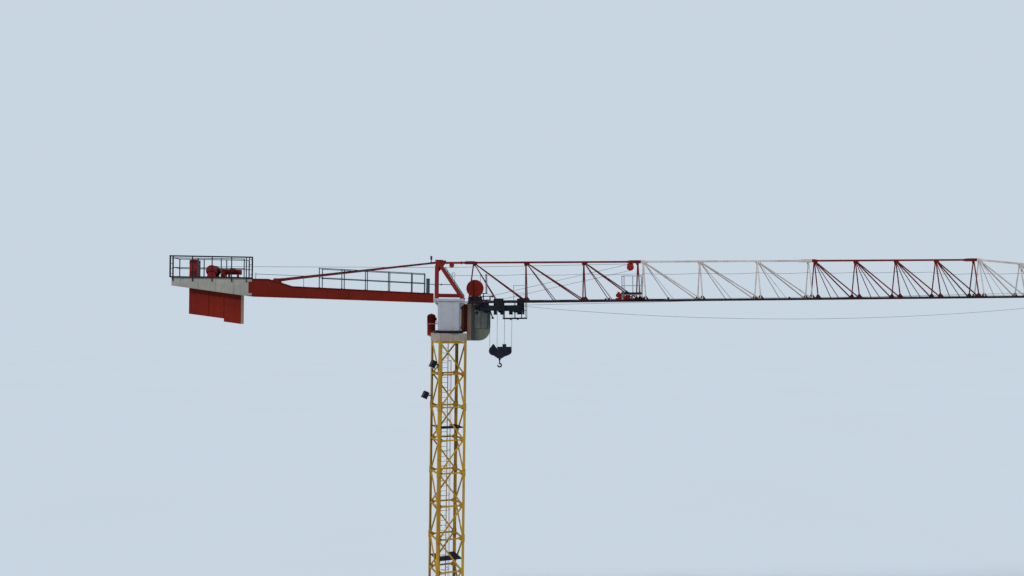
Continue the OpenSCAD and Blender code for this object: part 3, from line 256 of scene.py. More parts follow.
# A shaded copy of the red paint: its darker red is painted shade, worn by the head's foot beams, the
# jib's red parts, tie bars, pins and links.
SHADED_RED = paint("shaded_red_paint", (0.110, 0.008, 0.008), (0.075, 0.006, 0.007),
                 grime=(0.03, 0.006, 0.006), rust=(0.07, 0.017, 0.008))
GIRDER = paint("girder_red_paint", (0.128, 0.008, 0.0025), (0.100, 0.006, 0.002),
               grime=(0.05, 0.006, 0.003), rust=(0.07, 0.018, 0.006), rust_amount=0.4,
               dust=(0.13, 0.05, 0.03))
BALLAST = paint("ballast_paint", (0.145, 0.010, 0.0035), (0.110, 0.007, 0.003),
                grime=(0.05, 0.007, 0.004), rust=(0.20, 0.14, 0.09), rust_amount=0.18,
                dust=(0.14, 0.07, 0.045))
HEAD = paint("head_paint", *GREY, grime=(0.08, 0.035, 0.03), rust=(0.10, 0.024, 0.009), grime_amount=0.35,
             split=("Z", 12.9725, (0.160, 0.010, 0.007), (0.115, 0.008, 0.007)))
CAB = paint("cab_paint", (0.098, 0.112, 0.085), (0.074, 0.085, 0.066), grime=(0.048, 0.050, 0.038),
            rust_amount=0.1, rough=0.42, dust=(0.16, 0.15, 0.11))
# Beige trim of the cab, made brighter than its own colour: partly its beige, partly painted light against
# the shadow that falls on it.
TRIM = paint("cab_trim_paint", (0.37, 0.24, 0.18), (0.30, 0.19, 0.14), grime=(0.15, 0.10, 0.07),
             rust_amount=0.3)
# Past X 910 mm the column is a darker red: painted shade on its far part.
COLUMN = paint("column_paint_and_painted_shade", (0.22, 0.050, 0.014), (0.17, 0.036, 0.011), grime=(0.07, 0.015, 0.007),
               split=("X", 0.455, (0.085, 0.007, 0.004), (0.065, 0.006, 0.004)))
BLACK = steel("dark_steel", (0.005, 0.007, 0.014), (0.010, 0.011, 0.016), shine=0.12)
CHORD = steel("chord_dark_paint", (0.024, 0.010, 0.014), (0.014, 0.008, 0.011), rough=0.55)
PALE = steel("pale_rail_paint", (0.20, 0.225, 0.26), (0.14, 0.16, 0.185), rough=0.55, grease=0.2)
ZINC = steel("galvanised", (0.19, 0.205, 0.23), (0.12, 0.132, 0.15), metallic=0.3, grease=0.3)
TEAL = steel("rail_paint", (0.030, 0.060, 0.068), (0.020, 0.040, 0.048))
ROPE = steel("rope_steel", (0.035, 0.035, 0.040), (0.018, 0.018, 0.020), rough=0.6, metallic=0.3)
RUBBER = steel("rubber", (0.014, 0.014, 0.014), (0.022, 0.022, 0.021), rough=0.8, shine=0.2)
LENS = steel("lamp_lens", (0.40, 0.42, 0.44), (0.30, 0.32, 0.34), rough=0.25, grease=0.1, shine=0.5)
BEACON = steel("beacon_lens", (0.014, 0.040, 0.030), (0.009, 0.026, 0.020), rough=0.3, grease=0.1,
               shine=0.5)

glass = Mat("cab_glass", ior=1.5)
g_tint = glass.mix(glass.ramp(glass.noise(1.6, 3), 0.35, 0.7), (0.085, 0.100, 0.078),
                   (0.110, 0.122, 0.095))
g_streak = glass.ramp(glass.noise(9, 4, 0.6, stretch=(2.0, 2.0, 0.25)), 0.5, 0.75)
GLASS = glass.done(glass.mix(glass.times(g_streak, 0.4), g_tint, (0.16, 0.155, 0.125)),
                   glass.math("ADD", glass.times(g_streak, 0.3), 0.12),
                   glass.bump(g_streak, 0.0005, 0.2))

FINISH = {
    YELLOW: ["base_frame", "mast_legs", "mast_front_side", "mast_back_side", "mast_left_side",
             "mast_right_side", "mast_ladder"],
    CREAM: ["slewing_support"],
    PANEL: ["turntable"],
    WHITE: ["rear_frame"],
    JIB_WHITE: ["jib_top_chord_white", "jib_nose", "jib_near_side_white", "jib_far_side_white"],
    SHADED_RED: ["jib_top_chord_red", "jib_near_side_red", "jib_far_side_red", "tie_bars"],
    RED: ["rope_sheaves", "trolley_winch", "hoist_winch", "hoist_drum", "control_cabinet",
          "slewing_gear_motor"],
    HEAD: ["head_frame"],
    GIRDER: ["counter_jib_girders", "auxiliary_drum"],
    COLUMN: ["cab_support_frame"],
    CHORD: ["jib_floor_red", "jib_floor_white"],
    BALLAST: ["ballast_slabs"],
    CAB: ["cab_body"],
    GLASS: ["cab_windows"],
    ZINC: ["counter_jib_walkway"],
    TEAL: ["counter_jib_handrails"],
    PALE: ["winch_platform"],
    ROPE: ["hoist_ropes"],
}
for name, node in nodes.items():  # those that FINISH doesn't name are dark steel
    node.data.materials.clear()
    node.data.materials.append(next((m for m, names in FINISH.items() if name in names), BLACK))


# Mesh building blocks, in real mm

SCALE = 0.0005  # model metres for a real mm
SECTION, MAST_TOP = 3900, 23400
HEAD_Z, HEAD_TOP = 24031.8, 25691.8  # underside and lid of the turntable
FLANGE_TOP = 25791.8
APEX_Z = FLANGE_TOP + 2398
DECK = FLANGE_TOP + 1148  # top of the rear frame
SIDES = (-1, 1)
X, Y, Z = (1, 0, 0), (0, 1, 0), (0, 0, 1)
FLAT = Matrix.Identity(4)
YAW = Matrix.Rotation(radians(17.5), 4, "Z")
QUARTERS = [Matrix.Rotation(radians(90 * i), 3, "Z") for i in range(4)]
TILT = radians(1.35)  # of the jib
JIB_Z = FLANGE_TOP - 77
JIB = Matrix.Translation((0, 0, JIB_Z * SCALE)) @ Matrix.Rotation(-TILT, 4, "Y")


class Piece:
    """Many small solids joined in one mesh. place is the frame that its points are given in."""
    unfinished = []

    def __init__(self, name, material, place=FLAT, body="slewing_part", bevel=0):
        self.name, self.material, self.place, self.body = name, material, place, body
        self.bevel = bevel
        self.bm = bmesh.new()
        self.unfinished.append(self)

    def at(self, p):
        return self.place @ (Vector(p) * SCALE)

    def prism(self, rings):
        """Faces between two rings of points, with both ends closed."""
        a, b = ([self.bm.verts.new(self.at(p)) for p in ring] for ring in rings)
        n = len(a)
        for i in range(n):
            self.bm.faces.new((a[i], a[(i + 1) % n], b[(i + 1) % n], b[i]))
        self.bm.faces.new(a[::-1])
        self.bm.faces.new(b)

    def box(self, a, b):
        """A box between two opposite corners, in any order."""
        (x0, x1), (y0, y1), (z0, z1) = (sorted(pair) for pair in zip(a, b))
        ring = [(x0, y0), (x1, y0), (x1, y1), (x0, y1)]
        self.prism([[(*p, z) for p in ring] for z in (z0, z1)])

    def rod(self, a, b, r, sides=8, r2=None):
        """A round bar from a to b, tapering to r2."""
        self.tube([a, b], [r, r if r2 is None else r2], sides)

    def disc(self, p, axis, r, h, sides=16):
        """A round disc, centred on p."""
        axis, p = Vector(axis).normalized(), Vector(p)
        self.rod(p - axis * h / 2, p + axis * h / 2, r, sides)

    def bolt(self, p, axis, r, h):
        """A hexagonal head on a round washer, standing on p."""
        axis, p = Vector(axis).normalized(), Vector(p)
        self.rod(p, p + axis * h * 0.3, r * 1.5, 10)
        self.rod(p + axis * h * 0.3, p + axis * h * 1.3, r, 6)

    def bolts(self, x, y, z, axis, r, h):
        """Bolts at every mix of the places along the three axes, one or several on each."""
        for p in product(*(v if isinstance(v, (list, tuple)) else [v] for v in (x, y, z))):
            self.bolt(p, axis, r, h)

    def tube(self, points, r, sides=8, closed=False):
        """A tube through points. r is one radius or one for each point."""
        points = [Vector(p) for p in points]
        n = len(points)
        radii = r if isinstance(r, (list, tuple)) else [r] * n
        rings = []
        up = None
        for i, p in enumerate(points):
            if closed:
                d = (points[(i + 1) % n] - points[i - 1]).normalized()
            else:
                d = (points[min(i + 1, n - 1)] - points[max(i - 1, 0)]).normalized()
            if up is None:
                up = d.orthogonal().normalized()
            up = (up - d * up.dot(d)).normalized()
            side = d.cross(up)
            rings.append([self.bm.verts.new(self.at(p + (up * c + side * s) * radii[i]))
                          for c, s in circle(sides)])
        pairs = list(zip(rings, rings[1:])) + ([(rings[-1], rings[0])] if closed else [])
        for a, b in pairs:
            shift = 0
            if closed and a is rings[-1]:
                shift = min(range(sides), key=lambda s: (a[0].co - b[s].co).length)
            for k in range(sides):
                self.bm.faces.new((a[k], a[(k + 1) % sides], b[(k + 1 + shift) % sides],
                                   b[(k + shift) % sides]))
        if not closed:
            self.bm.faces.new(rings[0][::-1])
            self.bm.faces.new(rings[-1])

    def hoop(self, p, axis, big, r, steps=24, sides=6, start=0.0, sweep=360.0, zero=None):
        """A bent bar round an axis through p; a full turn makes a ring."""
        axis, p = Vector(axis).normalized(), Vector(p)
        a = Vector(zero).normalized() if zero else axis.orthogonal().normalized()
        b = axis.cross(a)
        full = sweep >= 360
        angles = [radians(start + sweep * i / steps) for i in range(steps if full else steps + 1)]
        self.tube([p + (a * cos(t) + b * sin(t)) * big for t in angles], r, sides, closed=full)

    def done(self):
        """Makes the object and rides it on its body, after all pieces begun before it."""
        while self.unfinished[0] is not self:
            self.unfinished[0].done()
        self.unfinished.pop(0)
        bmesh.ops.recalc_face_normals(self.bm, faces=self.bm.faces)
        mesh = bpy.data.meshes.new(self.name)
        self.bm.to_mesh(mesh)
        self.bm.free()
        mesh.materials.append(self.material)
        o = bpy.data.objects.new(self.name, mesh)
        scene.collection.objects.link(o)
        if self.bevel:
            b = o.modifiers.new("edges", "BEVEL")
            b.width = self.bevel * SCALE
            b.segments = 1
            b.limit_method = "ANGLE"
            b.angle_limit = radians(40)
        for p in mesh.polygons:
            p.use_smooth = True
        mesh.set_sharp_from_angle(angle=radians(35))
        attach(o, self.body)
        return o


def moved(x, y, z, place=FLAT):
    """A frame with its origin moved along its own axes, in real mm."""
    return place @ Matrix.Translation(Vector((x, y, z)) * SCALE)


def blend(piece, a, b, start, end, place=JIB):
    """Finishes the piece, takes it off its body and bakes its place into its mesh; the two points, in
    real mm in the piece's frame, are not used.
    """
    o = piece.done()
    o.parent = None
    del o["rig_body"]
    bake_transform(o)
    return o


def shorten(piece):
    """Finishes a rope along the jib and gives it its own copy of its mesh."""
    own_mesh(piece.done())


def spread(a, b, n):
    """n places from a to b, both counted."""
    return [a + (b - a) * i / (n - 1) for i in range(n)]


def circle(n, first=0):
    """Cosine and sine of n angles evenly round a circle, from first degrees on."""
    angles = [radians(first + 360 * i / n) for i in range(n)]
    return [(cos(a), sin(a)) for a in angles]


# Mast: bolts at the joints, node plates, ladder cage, supply cable, lamps

bolts = Piece("mast_joint_bolts", YELLOW, YAW, "mast")
for i, turn in product(range(1, 6), QUARTERS):
    z = SECTION * i
    for dz in (-160, -70, 70, 160):
        bolts.bolt(turn @ Vector((870, 775, z + dz)), turn @ Vector(X), 17, 14)
        bolts.bolt(turn @ Vector((775, 870, z + dz)), turn @ Vector(Y), 17, 14)
    bolts.rod(turn @ Vector((690, 860, z)), turn @ Vector((868, 860, z)), 11, 4)

plates = Piece("mast_node_plates", YELLOW, YAW, "mast")
for turn, i, s in product(QUARTERS, range(1, 12), SIDES):
    z = i * SECTION / 2
    ring = [(s * 735, z - 190), (s * 500, z - 45), (s * 500, z + 45), (s * 735, z + 190)]
    plates.prism([[turn @ Vector((x, y, h)) for x, h in ring] for y in (-747, -735)])

LADDER_Y, CAGE_R = 440, 320
cage = Piece("ladder_cage", YELLOW, YAW, "mast")
hoops = [2400 + 900 * i for i in range(23)]
for z in hoops:
    cage.hoop((0, LADDER_Y, z), Z, CAGE_R, 14, 18, 4, start=-231, sweep=282, zero=X)
for angle in (-200, -155, -90, -25, 20):
    t = radians(angle)
    x, y = CAGE_R * cos(t), LADDER_Y + CAGE_R * sin(t)
    cage.box((x - 10, y - 10, hoops[0] - 20), (x + 10, y + 10, hoops[-1] + 20))
for z, s in product(spread(900, 22500, 13), SIDES):
    cage.box((s * 200 - 12, 745, z - 30), (s * 200 + 12, 752, z + 30))

cable = Piece("mast_supply_cable", RUBBER, YAW, "mast")
cable.tube([(-712 + 5 * sin(z / 470), -712 + 4 * cos(z / 390), z)
            for z in range(420, 23200, 240)], 21, 8)
clips = Piece("cable_clips", ZINC, YAW, "mast")
for z in range(900, 23000, 975):
    clips.box((-745, -745, z - 20), (-682, -682, z + 20))
box = Piece("mast_junction_box", ZINC, YAW, "mast", bevel=4)
box.box((-690, -735, 1250), (-380, -600, 1700))
box.box((-675, -750, 1265), (-395, -735, 1685))
for z in (1330, 1620):
    box.rod((-410, -752, z), (-410, -750, z + 30), 8, 6)
for x in (-640, -560, -480):
    box.rod((x, -668, 1210), (x, -668, 1252), 18, 10)
    box.rod((x, -668, 1210), (x, -690, 960), 10, 6)

for n, (y0, drop) in enumerate(((-770, 1350), (770, 3300))):
    lamp_at = moved(-850.6, y0, MAST_TOP - drop, YAW) @ Matrix.Rotation(radians(25), 4, "Y")
    fins = Piece(f"floodlight_fins_{n + 1}", BLACK, lamp_at, "mast")
    for y in spread(-180, 180, 13):
        fins.box((-440, y - 5, 58), (-200, y + 5, 100))
    for x in (-462, -178):
        fins.box((x - 5, -205, -338), (x + 5, 205, -318))
    for y in (-205, 205):
        fins.box((-465, y - 5, -338), (-175, y + 5, -318))
    fins.tube([(-320, 200, -120), (-320, 235, -120), (-320, 235, 20), (-180, 235, 90), (-60, 120, 60)],
              14, 6)
    lens = Piece(f"floodlight_glass_{n + 1}", LENS, lamp_at, "mast")
    lens.box((-448, -190, -336), (-192, 190, -328))

trim = Piece("slewing_support_bolts", CREAM, YAW, "mast")
for turn in QUARTERS:
    for y, dz in product((-800, -730, 730, 800), (70, 170)):
        trim.bolt(turn @ Vector((860, y, MAST_TOP + dz)), turn @ Vector(X), 16, 14)
    for y in (-430, 0, 430):
        trim.prism([[turn @ Vector((x, y + dy, MAST_TOP + dz))
                     for x, dy in ((858, -8), (858, 8), (868, 8), (868, -8))] for dz in (440, 30)])

floors = Piece("mast_platform_grating", BLACK, YAW, "mast")
for k in (1, 3, 5):
    z = k * SECTION - 1210
    for x in spread(-730, 730, 31):
        floors.box((x - 5, -735, z), (x + 5, 25 if abs(x) < 375 else 735, z + 12))
    for y in spread(-700, 0, 5):
        floors.box((-735, y - 4, z + 2), (735, y + 4, z + 10))

# Slewing part: ring bolts, turntable, motor

ring_bolts = Piece("ring_bolts", BLACK)
for i, (c, s) in enumerate(circle(48)):
    if (i - 2) % 4:  # at every fourth place a bolt of the node stands
        ring_bolts.bolt((892 * c, 892 * s, HEAD_Z - 1), Z, 17, 15)

TURNTABLE_X = 660  # half its length
seams = Piece("turntable_seams", PANEL)
for z in (HEAD_Z + 6, HEAD_TOP - 6, HEAD_Z + 830):
    seams.tube([(x, y, z) for x, y in ((660, -490), (660, 490), (628, 568), (550, 600), (-550, 600),
                                       (-628, 568), (-660, 490), (-660, -490), (-628, -568),
                                       (-550, -600), (550, -600), (628, -568))], 7, 6, closed=True)
for s in SIDES:
    x = s * TURNTABLE_X
    for y in (-312, 280):
        seams.box((x - 12, y, HEAD_Z + 218), (x + 12, y + 32, HEAD_TOP - 268))
    for z in (HEAD_Z + 218, HEAD_TOP - 300):
        seams.box((x - 12, -312, z), (x + 12, 312, z + 32))
    seams.bolts(x + s * 11, (-296, 296), spread(HEAD_Z + 240, HEAD_TOP - 290, 7), (s, 0, 0), 9, 8)
seams.box((-250, -608, HEAD_Z + 60), (-100, -598, HEAD_Z + 180))
seams.bolts((-235, -115), -608, (HEAD_Z + 75, HEAD_Z + 165), (0, -1, 0), 7, 6)
flange = Piece("flange_bolts", PANEL)
flange.bolts(spread(-840, 900, 13), (-420, 420), FLANGE_TOP - 1, Z, 15, 14)
flange.bolts((-840, -760, 800, 900), (-500, -375, -225, 225, 375, 500), HEAD_TOP, (0, 0, -1), 15, 14)

MOTOR_AT = moved(-1070, 1230, HEAD_Z + 360)
motor = Piece("slewing_motor_fins", RED, MOTOR_AT)
for c, s in circle(36):
    motor.prism([[(c * r - s * w, s * r + c * w, z)
                  for r, w in ((236, 4), (236, -4), (264, -4), (264, 4))] for z in (130, 500)])
for c, s in circle(12):
    motor.bolt((252 * c, 252 * s, 90), Z, 11, 12)
    motor.bolt((262 * c, 262 * s, -60), (c, s, 0), 9, 8)
motor.rod((0, 0, 620), (0, 0, 650), 60, 16, r2=45)
lead = Piece("slewing_motor_cable", RUBBER, MOTOR_AT, bevel=3)
lead.box((225, -70, 240), (330, 70, 400))
lead.tube([(290, 0, 240), (300, -5, 150), (360, -90, 110), (420, -260, 120), (440, -420, 200),
           (440, -560, 230), (440, -640, 235)], 16, 8)

# Head: gusset bolts, plates over the posts, foot beams, ladder on the diagonal, rail, beacon

POST_X = -735
FOOT_Y, LEAN = 535, 431  # the posts' place at the foot, and how far they lean in up to the apex
studs = Piece("head_bolts", RED)
for s in SIDES:
    for x, z in ((-790, -580), (-700, -580), (-790, -470), (-790, 0), (-680, -60), (-560, -60),
                 (-440, -60), (-320, -60), (-560, -180), (-460, -330), (-620, -330)):
        studs.bolt((x, s * 116, APEX_Z + z), (0, s, 0), 14, 12)
    studs.bolts((POST_X - 110, POST_X + 110, 750, 970), (s * FOOT_Y - 40, s * FOOT_Y + 40),
                FLANGE_TOP + 149, Z, 14, 12)
studs.bolts(spread(-840, -440, 5), (-130, 130), APEX_Z + 64, Z, 13, 11)

covers = Piece("head_post_plates", RED, bevel=6)
for s in SIDES:
    ends = []
    for z in (FLANGE_TOP + 151, APEX_Z - 265):
        y = s * (FOOT_Y - LEAN * (z - FLANGE_TOP - 91) / (APEX_Z - FLANGE_TOP - 91))
        ends.append([(x, y + dy, z) for x, dy in ((-875, -60), (-635, -60), (-635, 60), (-875, 60))])
    covers.prism(ends)

# The foot beams' dark red is painted shade.
beams = Piece("head_foot_beams", SHADED_RED, bevel=6)
for s in SIDES:
    beams.box((-660, s * 455, FLANGE_TOP + 236), (700, s * 555, FLANGE_TOP + 434))

ladder = Piece("head_ladder", ZINC)
start, end = Vector((860, 0, FLANGE_TOP + 90)), Vector((POST_X + 60, 0, APEX_Z - 60))
run = (end - start).normalized()
off = Vector((run.z, 0, -run.x))
half = Vector((0, 190, 0))
lo, hi = start + run * 150 + off * 165, start + run * 2230 + off * 165
for s in SIDES:
    ladder.tube([lo + half * s, hi + half * s], 24, 6)
for t in spread(0.04, 0.96, 8):
    p = lo + (hi - lo) * t
    ladder.rod(p - half, p + half, 14, 6)
for t in (0.08, 0.5, 0.86):
    p = lo + (hi - lo) * t
    beam = start + run * ((p - start).dot(run))
    share = (beam.z - start.z) / (end.z - start.z)
    for s in SIDES:
        ladder.rod(p + half * s, beam + off * 60 + Vector((0, s * (FOOT_Y - LEAN * share), 0)), 15, 6)
for x, z in ((165, 27167), (315, 26957)):
    ladder.rod((x, -190, z), (x, -190, 27502), 12, 6)
for z in (27272, 27497):
    ladder.rod((165, -190, z), (315, -190, z), 12, 6)

rail = Piece("head_rail", BLACK, moved(0, 0, 26780))
rail.tube([(-1240, -545, 0), (-1240, -260, 0)], 18, 8)
rail.tube([(-1250, -250, 0), (130, -250, 0)], 20, 8)
rail.tube([(130, -250, 0), (165, -330, 0)], 18, 8)
rail.disc((-490, -250, -5), X, 45, 90, 12)

TIE_SLOPE = 0.12895
BEACON_AT = moved(-1100, 0, APEX_Z - 87 - TIE_SLOPE * 255)
stand = Piece("beacon_stand", BLACK, BEACON_AT)
stand.box((-60, -150, 42), (60, 150, 56))
stand.rod((0, 0, 50), (0, 0, 190), 24, 10)
stand.rod((0, 0, 190), (0, 0, 225), 62, 16)
for c, s in circle(6):
    stand.rod((62 * c, 62 * s, 220), (62 * c, 62 * s, 400), 6, 5)
stand.rod((0, 0, 395), (0, 0, 425), 66, 16, r2=40)
lamp = Piece("beacon_lamp", BEACON, BEACON_AT)
lamp.tube([(0, 0, z) for z in (224, 250, 350, 396)], [46, 52, 50, 40], 16)

# Cab: window rubbers, wiper, roof unit, door trim; covers beside the turntable

CAB_AT = moved(1130, 730, HEAD_Z - 612)
SILL, LINTEL = 760, 1960
rubber = Piece("window_rubbers", RUBBER, CAB_AT)
for y in (-4, 1204):
    rubber.tube([(420, y, SILL), (1240, y, SILL), (1240, y, LINTEL), (420, y, LINTEL)], 13, 6,
                closed=True)
    rubber.rod((830, y, SILL), (830, y, LINTEL), 10, 6)
rubber.tube([(1403, 130, SILL), (1403, 1070, SILL), (1403, 1070, LINTEL), (1403, 130, LINTEL)], 13, 6,
            closed=True)
rubber.tube([(1380, 250, 790), (1412, 420, 800), (1412, 780, 1500)], 9, 6)
rubber.tube([(1414, 700, 1120), (1414, 850, 1820)], 8, 4)
fittings = Piece("cab_fittings", CAB, CAB_AT, bevel=5)
fittings.box((-40, -20, 2275), (1330, 1230, 2305))
fittings.box((330, 280, 2300), (930, 920, 2450))
for y in spread(330, 870, 10):
    fittings.box((926, y - 8, 2325), (936, y + 8, 2425))
for y in (-14, 1200):
    fittings.box((240, y, 60), (390, y + 14, 1980))
for z in (300, 1050, 1750):
    fittings.box((-16, 236, z), (4, 270, z + 110))
# Past X 910 mm these covers take the column's painted shade.
covers = Piece("cab_column_covers", COLUMN, bevel=4)
covers.box((1056, 606, HEAD_Z - 80), (1121, 855, HEAD_TOP - 50))
covers.box((776, 603, HEAD_Z - 80), (1056, 858, HEAD_Z + 24))
covers.box((738, 612, HEAD_Z + 30), (784, 850, HEAD_TOP - 60))
posts = Piece("turntable_door_posts", PANEL, bevel=5)
for k in SIDES:
    posts.box((656, k * 285, HEAD_Z + 20), (700, k * 470, HEAD_TOP - 20))
    for z in (HEAD_Z + 200, HEAD_TOP - 260):
        posts.rod((702, k * 320, z), (702, k * 320, z + 90), 14, 10)
# The trim's beige is partly painted light against its shadow.
door = Piece("cab_door_trim", TRIM, CAB_AT, bevel=3)
door.box((-8, -10, 20), (235, 0, 2260))
door.box((-8, 1200, 20), (235, 1210, 2260))
for y in (205, 900):
    door.box((-10, y, 80), (0, y + 45, 2040))
for z in (80, 2000):
    door.box((-10, 205, z), (0, 945, z + 40))
door.rod((-30, 850, 1000), (-30, 850, 1140), 9, 6)

# Jib: bolts and pins at the section joints, plates at the lower nodes, lifeline, ropes

JOINTS = [1050, 11720, 22560, 33420, 44300]
BAYS = [[3160, 3540, 3350], [3530, 3660, 3290], [2660, 2650, 2650, 2530], [2750, 2750, 2600, 2400]]
FIRST_NODES = [1500, 11900, 22750, 33600]
KINK_U = FIRST_NODES[-1]
JIB_H = 2380  # from the bottom chords up to the top chord, as far as the kink


def top_w(u):
    """Height of the top chord, which falls from the kink on."""
    return JIB_H if u <= KINK_U else JIB_H - 1030 * (u - KINK_U) / 10700


def nodes_of(s):
    """Places of the lower nodes of a section. The jib's first one is nearer the mast."""
    u = FIRST_NODES[s]
    places = [u if s else u - 340]
    for bay in BAYS[s]:
        u += bay
        places.append(u)
    return places


for s in range(4):
    pins = Piece(f"section_pins_{s + 1}", JIB_WHITE if s % 2 else SHADED_RED, JIB)
    ends = [(JOINTS[s + 1], -1)] + ([(JOINTS[s], 1)] if s else [])
    for (u0, way), k in product(ends, SIDES):
        u, y, w = u0 + way * 90, k * 83, top_w(u0)
        pins.rod((u, y - k * 4, w), (u, y + k * 26, w), 34, 14)
        pins.rod((u, y + k * 20, w - 42), (u, y + k * 20, w + 42), 6, 6)
        for du, dw in product((230, 350, 470, 590) if way < 0 else (190, ), (-48, 48)):
            u = u0 + way * du
            pins.bolt((u, y, top_w(u) + dw), (0, k, 0), 15, 13)
    lower = Piece(f"lower_node_plates_{s + 1}", CHORD, JIB)
    for u, k in product(nodes_of(s), SIDES):
        slope = 485 / top_w(u)
        ring = [(u + du, w) for du, w in ((-190, 58), (190, 58), (150, 130), (60, 260), (-60, 260),
                                          (-150, 130)) if u + du > 1090]
        lower.prism([[(x, -k * (500 - slope * w + d), w) for x, w in ring] for d in (-6, 6)])
        lower.bolts((u + 120, u - 10), k * 560, 20, (0, k, 0), 12, 6)

lone = Piece("guard_post_pale", PALE, JIB)
lone.rod((2230, 0, 535), (2230, 0, 1690), 40, 12)
lone.rod((2230, 0, 1640), (2230, 0, 1700), 52, 12)
for w in (545, 1100):
    lone.rod((2230, 0, w), (2230, 0, w + 30), 50, 12)
stays = Piece("guard_posts", ZINC, JIB)
for u, y, w in ((1400, 200, 145), (1900, 200, 145), (2290, 0, 535)):
    stays.rod((u, y, w), (u, y, 1690), 14, 8)
for u in (3860, 4630):
    stays.rod((u, -440, 40), (u, -440, 980), 15, 8)
for w, r in ((970, 13), (520, 11)):
    stays.rod((3860, -440, w), (4630, -440, w), r, 8)
for s in range(4):
    for u in nodes_of(s)[1:-1]:
        if u < 40000:
            stays.box((u - 30, -175, 1610), (u + 30, -105, 1690))
line = Piece("lifeline", ROPE, JIB)
points = []
holds = [-60] + [u for s in range(4) for u in nodes_of(s) if 1200 < u < 41000]
for a, b in zip(holds, holds[1:]):
    drop = (130 if a > 30000 else 0) + (40 if a > 36000 else 0)
    for t in spread(0, 5 / 6, 6):
        points.append((a + (b - a) * t, -140, 1650 - 60 * 4 * t * (1 - t) - drop))
line.tube(points, 10, 5)
line.tube([(270, -190, 1755.2), (-60, -140, 1650)], 8, 5)

boxes = Piece("chord_boxes", RUBBER, JIB)
for u, h in ((9430, 90), (9650, 110), (13290, 110), (20900, 70)):
    boxes.box((u - 50, -545, 58), (u + 50, -455, 58 + h))
    boxes.rod((u, -500, 50 + h), (u, -500, 75 + h), 24, 8)
boxes.tube([(1120, -425, 78)] + [(u, -425, 76 + 6 * sin(u / 300)) for u in range(1300, 13200, 400)]
           + [(13290, -470, 90)], 12, 6)

HOIST_X, HOIST_Z = -13800, 430  # the hoist drum's axis, from the deck up
SHEAVE_U, SHEAVE_W = 11080, 2050
hoist = Piece("hoist_rope_run", ROPE)
drum_top = (HOIST_X, 40, DECK + HOIST_Z + 268)
head_low, sheave_top = (JIB @ (Vector(p) * SCALE) / SCALE
                        for p in ((180, 0, JIB_H - 279), (SHEAVE_U - 30, 0, SHEAVE_W + 199)))
hoist.tube([drum_top, head_low], 10, 6)
hoist.tube([head_low, sheave_top], 10, 6)
wrap = Piece("sheave_rope", ROPE, JIB)
wrap.hoop((SHEAVE_U, 0, SHEAVE_W), (0, -1, 0), 199, 10, 20, 6, start=-78, sweep=180, zero=X)
wrap.tube([(2600, 0, 385), (11040, 0, 2245)], 10, 6)
wrap.tube([(2600, 0, 385), (2160, 0, 548)], 10, 6)
wrap.disc((2600, 0, 325), Y, 52, 60, 16)
for y in (-36, 30):
    wrap.box((2480, y, 300), (2610, y + 6, 370))

sheave_end, trolley_end = Vector((11120, 0, 1860)), Vector((1840, 0, -128))
SHARES = (0, 0.05, 0.2, 0.5, 0.8, 0.95, 1)
for i, (w0, w1) in enumerate(zip(SHARES, SHARES[1:])):
    t0, t1 = (0.5 - sin(asin(1 - 2 * w) / 3) for w in (w0, w1))
    step = (w1 - w0) / (t1 - t0)
    length = Piece(f"hoist_rope_inner_{i + 1}", ROPE, JIB)
    length.tube([sheave_end.lerp(trolley_end, w) for w in spread(w0, w1, 5)], 10, 6)
    blend(length, "slewing_part", "trolley", sheave_end.lerp(trolley_end, w0 - t0 * step),
          sheave_end.lerp(trolley_end, w0 + (1 - t0) * step))
outer = Piece("hoist_rope_outer", ROPE, JIB)
outer.tube([(4000 + 40830 * t, 0, -211 + 556 * t) for t in spread(0, 1, 41)], 10, 6)
shorten(outer)
slack = Piece("trolley_rope", ROPE, JIB)
slack.tube([(4430 + 40200 * t, -60, -270 + 320 * t - 1130 * 4 * t * (1 - t))
            for t in spread(0, 1, 60)], 9, 6)
shorten(slack)
inner = Piece("trolley_rope_inner", ROPE, JIB)
inner.tube([(1180 + 520 * t, 60, -75 - 195 * t) for t in spread(0, 1, 7)], 9, 6)
blend(inner, "slewing_part", "trolley", (1180, 60, -75), (1700, 60, -270))

# Trolley winch and its platform

WINCH_U, WINCH_W = 10700, 340.6
winch = Piece("trolley_winch_details", RED, moved(WINCH_U, 0, WINCH_W, JIB))
for c, s in circle(24):
    winch.box((205 * c - 12, -214, 205 * s - 12), (205 * c + 12, -199, 205 * s + 12))
for y in spread(-190, 190, 16):
    winch.disc((-370, y, 0), Y, 133, 10, 20)
winch.disc((-370, 215, 0), Y, 100, 40, 20)
winch.box((-430, -90, 114.4), (-310, 60, 204.4))
for u, k in product(spread(-270, 270, 6), SIDES):
    winch.bolt((u, k * 230, -75.6), (0, k, 0), 12, 10)
turns = Piece("trolley_winch_rope", ROPE, JIB)
for y in spread(-160, 160, 17):
    turns.hoop((WINCH_U, y, WINCH_W), Y, 178, 9, 24, 5)
turns.tube([(WINCH_U, -60, 163), (12500, -60, 95), (44300, -60, 95)], 9, 5)
turns.tube([(WINCH_U, 60, 163), (9800, 60, 95), (1300, 60, 95), (1180, 60, -75)], 9, 5)
grate = Piece("winch_platform_grating", BLACK, JIB)
for u in spread(10400, 11450, 27):
    grate.box((u - 4, -1255, 358), (u + 4, -645, 372))
for y in spread(-1240, -660, 6):
    grate.box((10385, y - 4, 360), (11465, y + 4, 370))
for u0, u1, y0, y1 in ((10380, 11470, -1264, -1256), (10380, 10388, -1260, -640),
                       (11462, 11470, -1260, -640)):
    grate.box((u0, y0, 360), (u1, y1, 480))

# Auxiliary drum: hub, ribs and windings; its gear, motor and cable on the frame

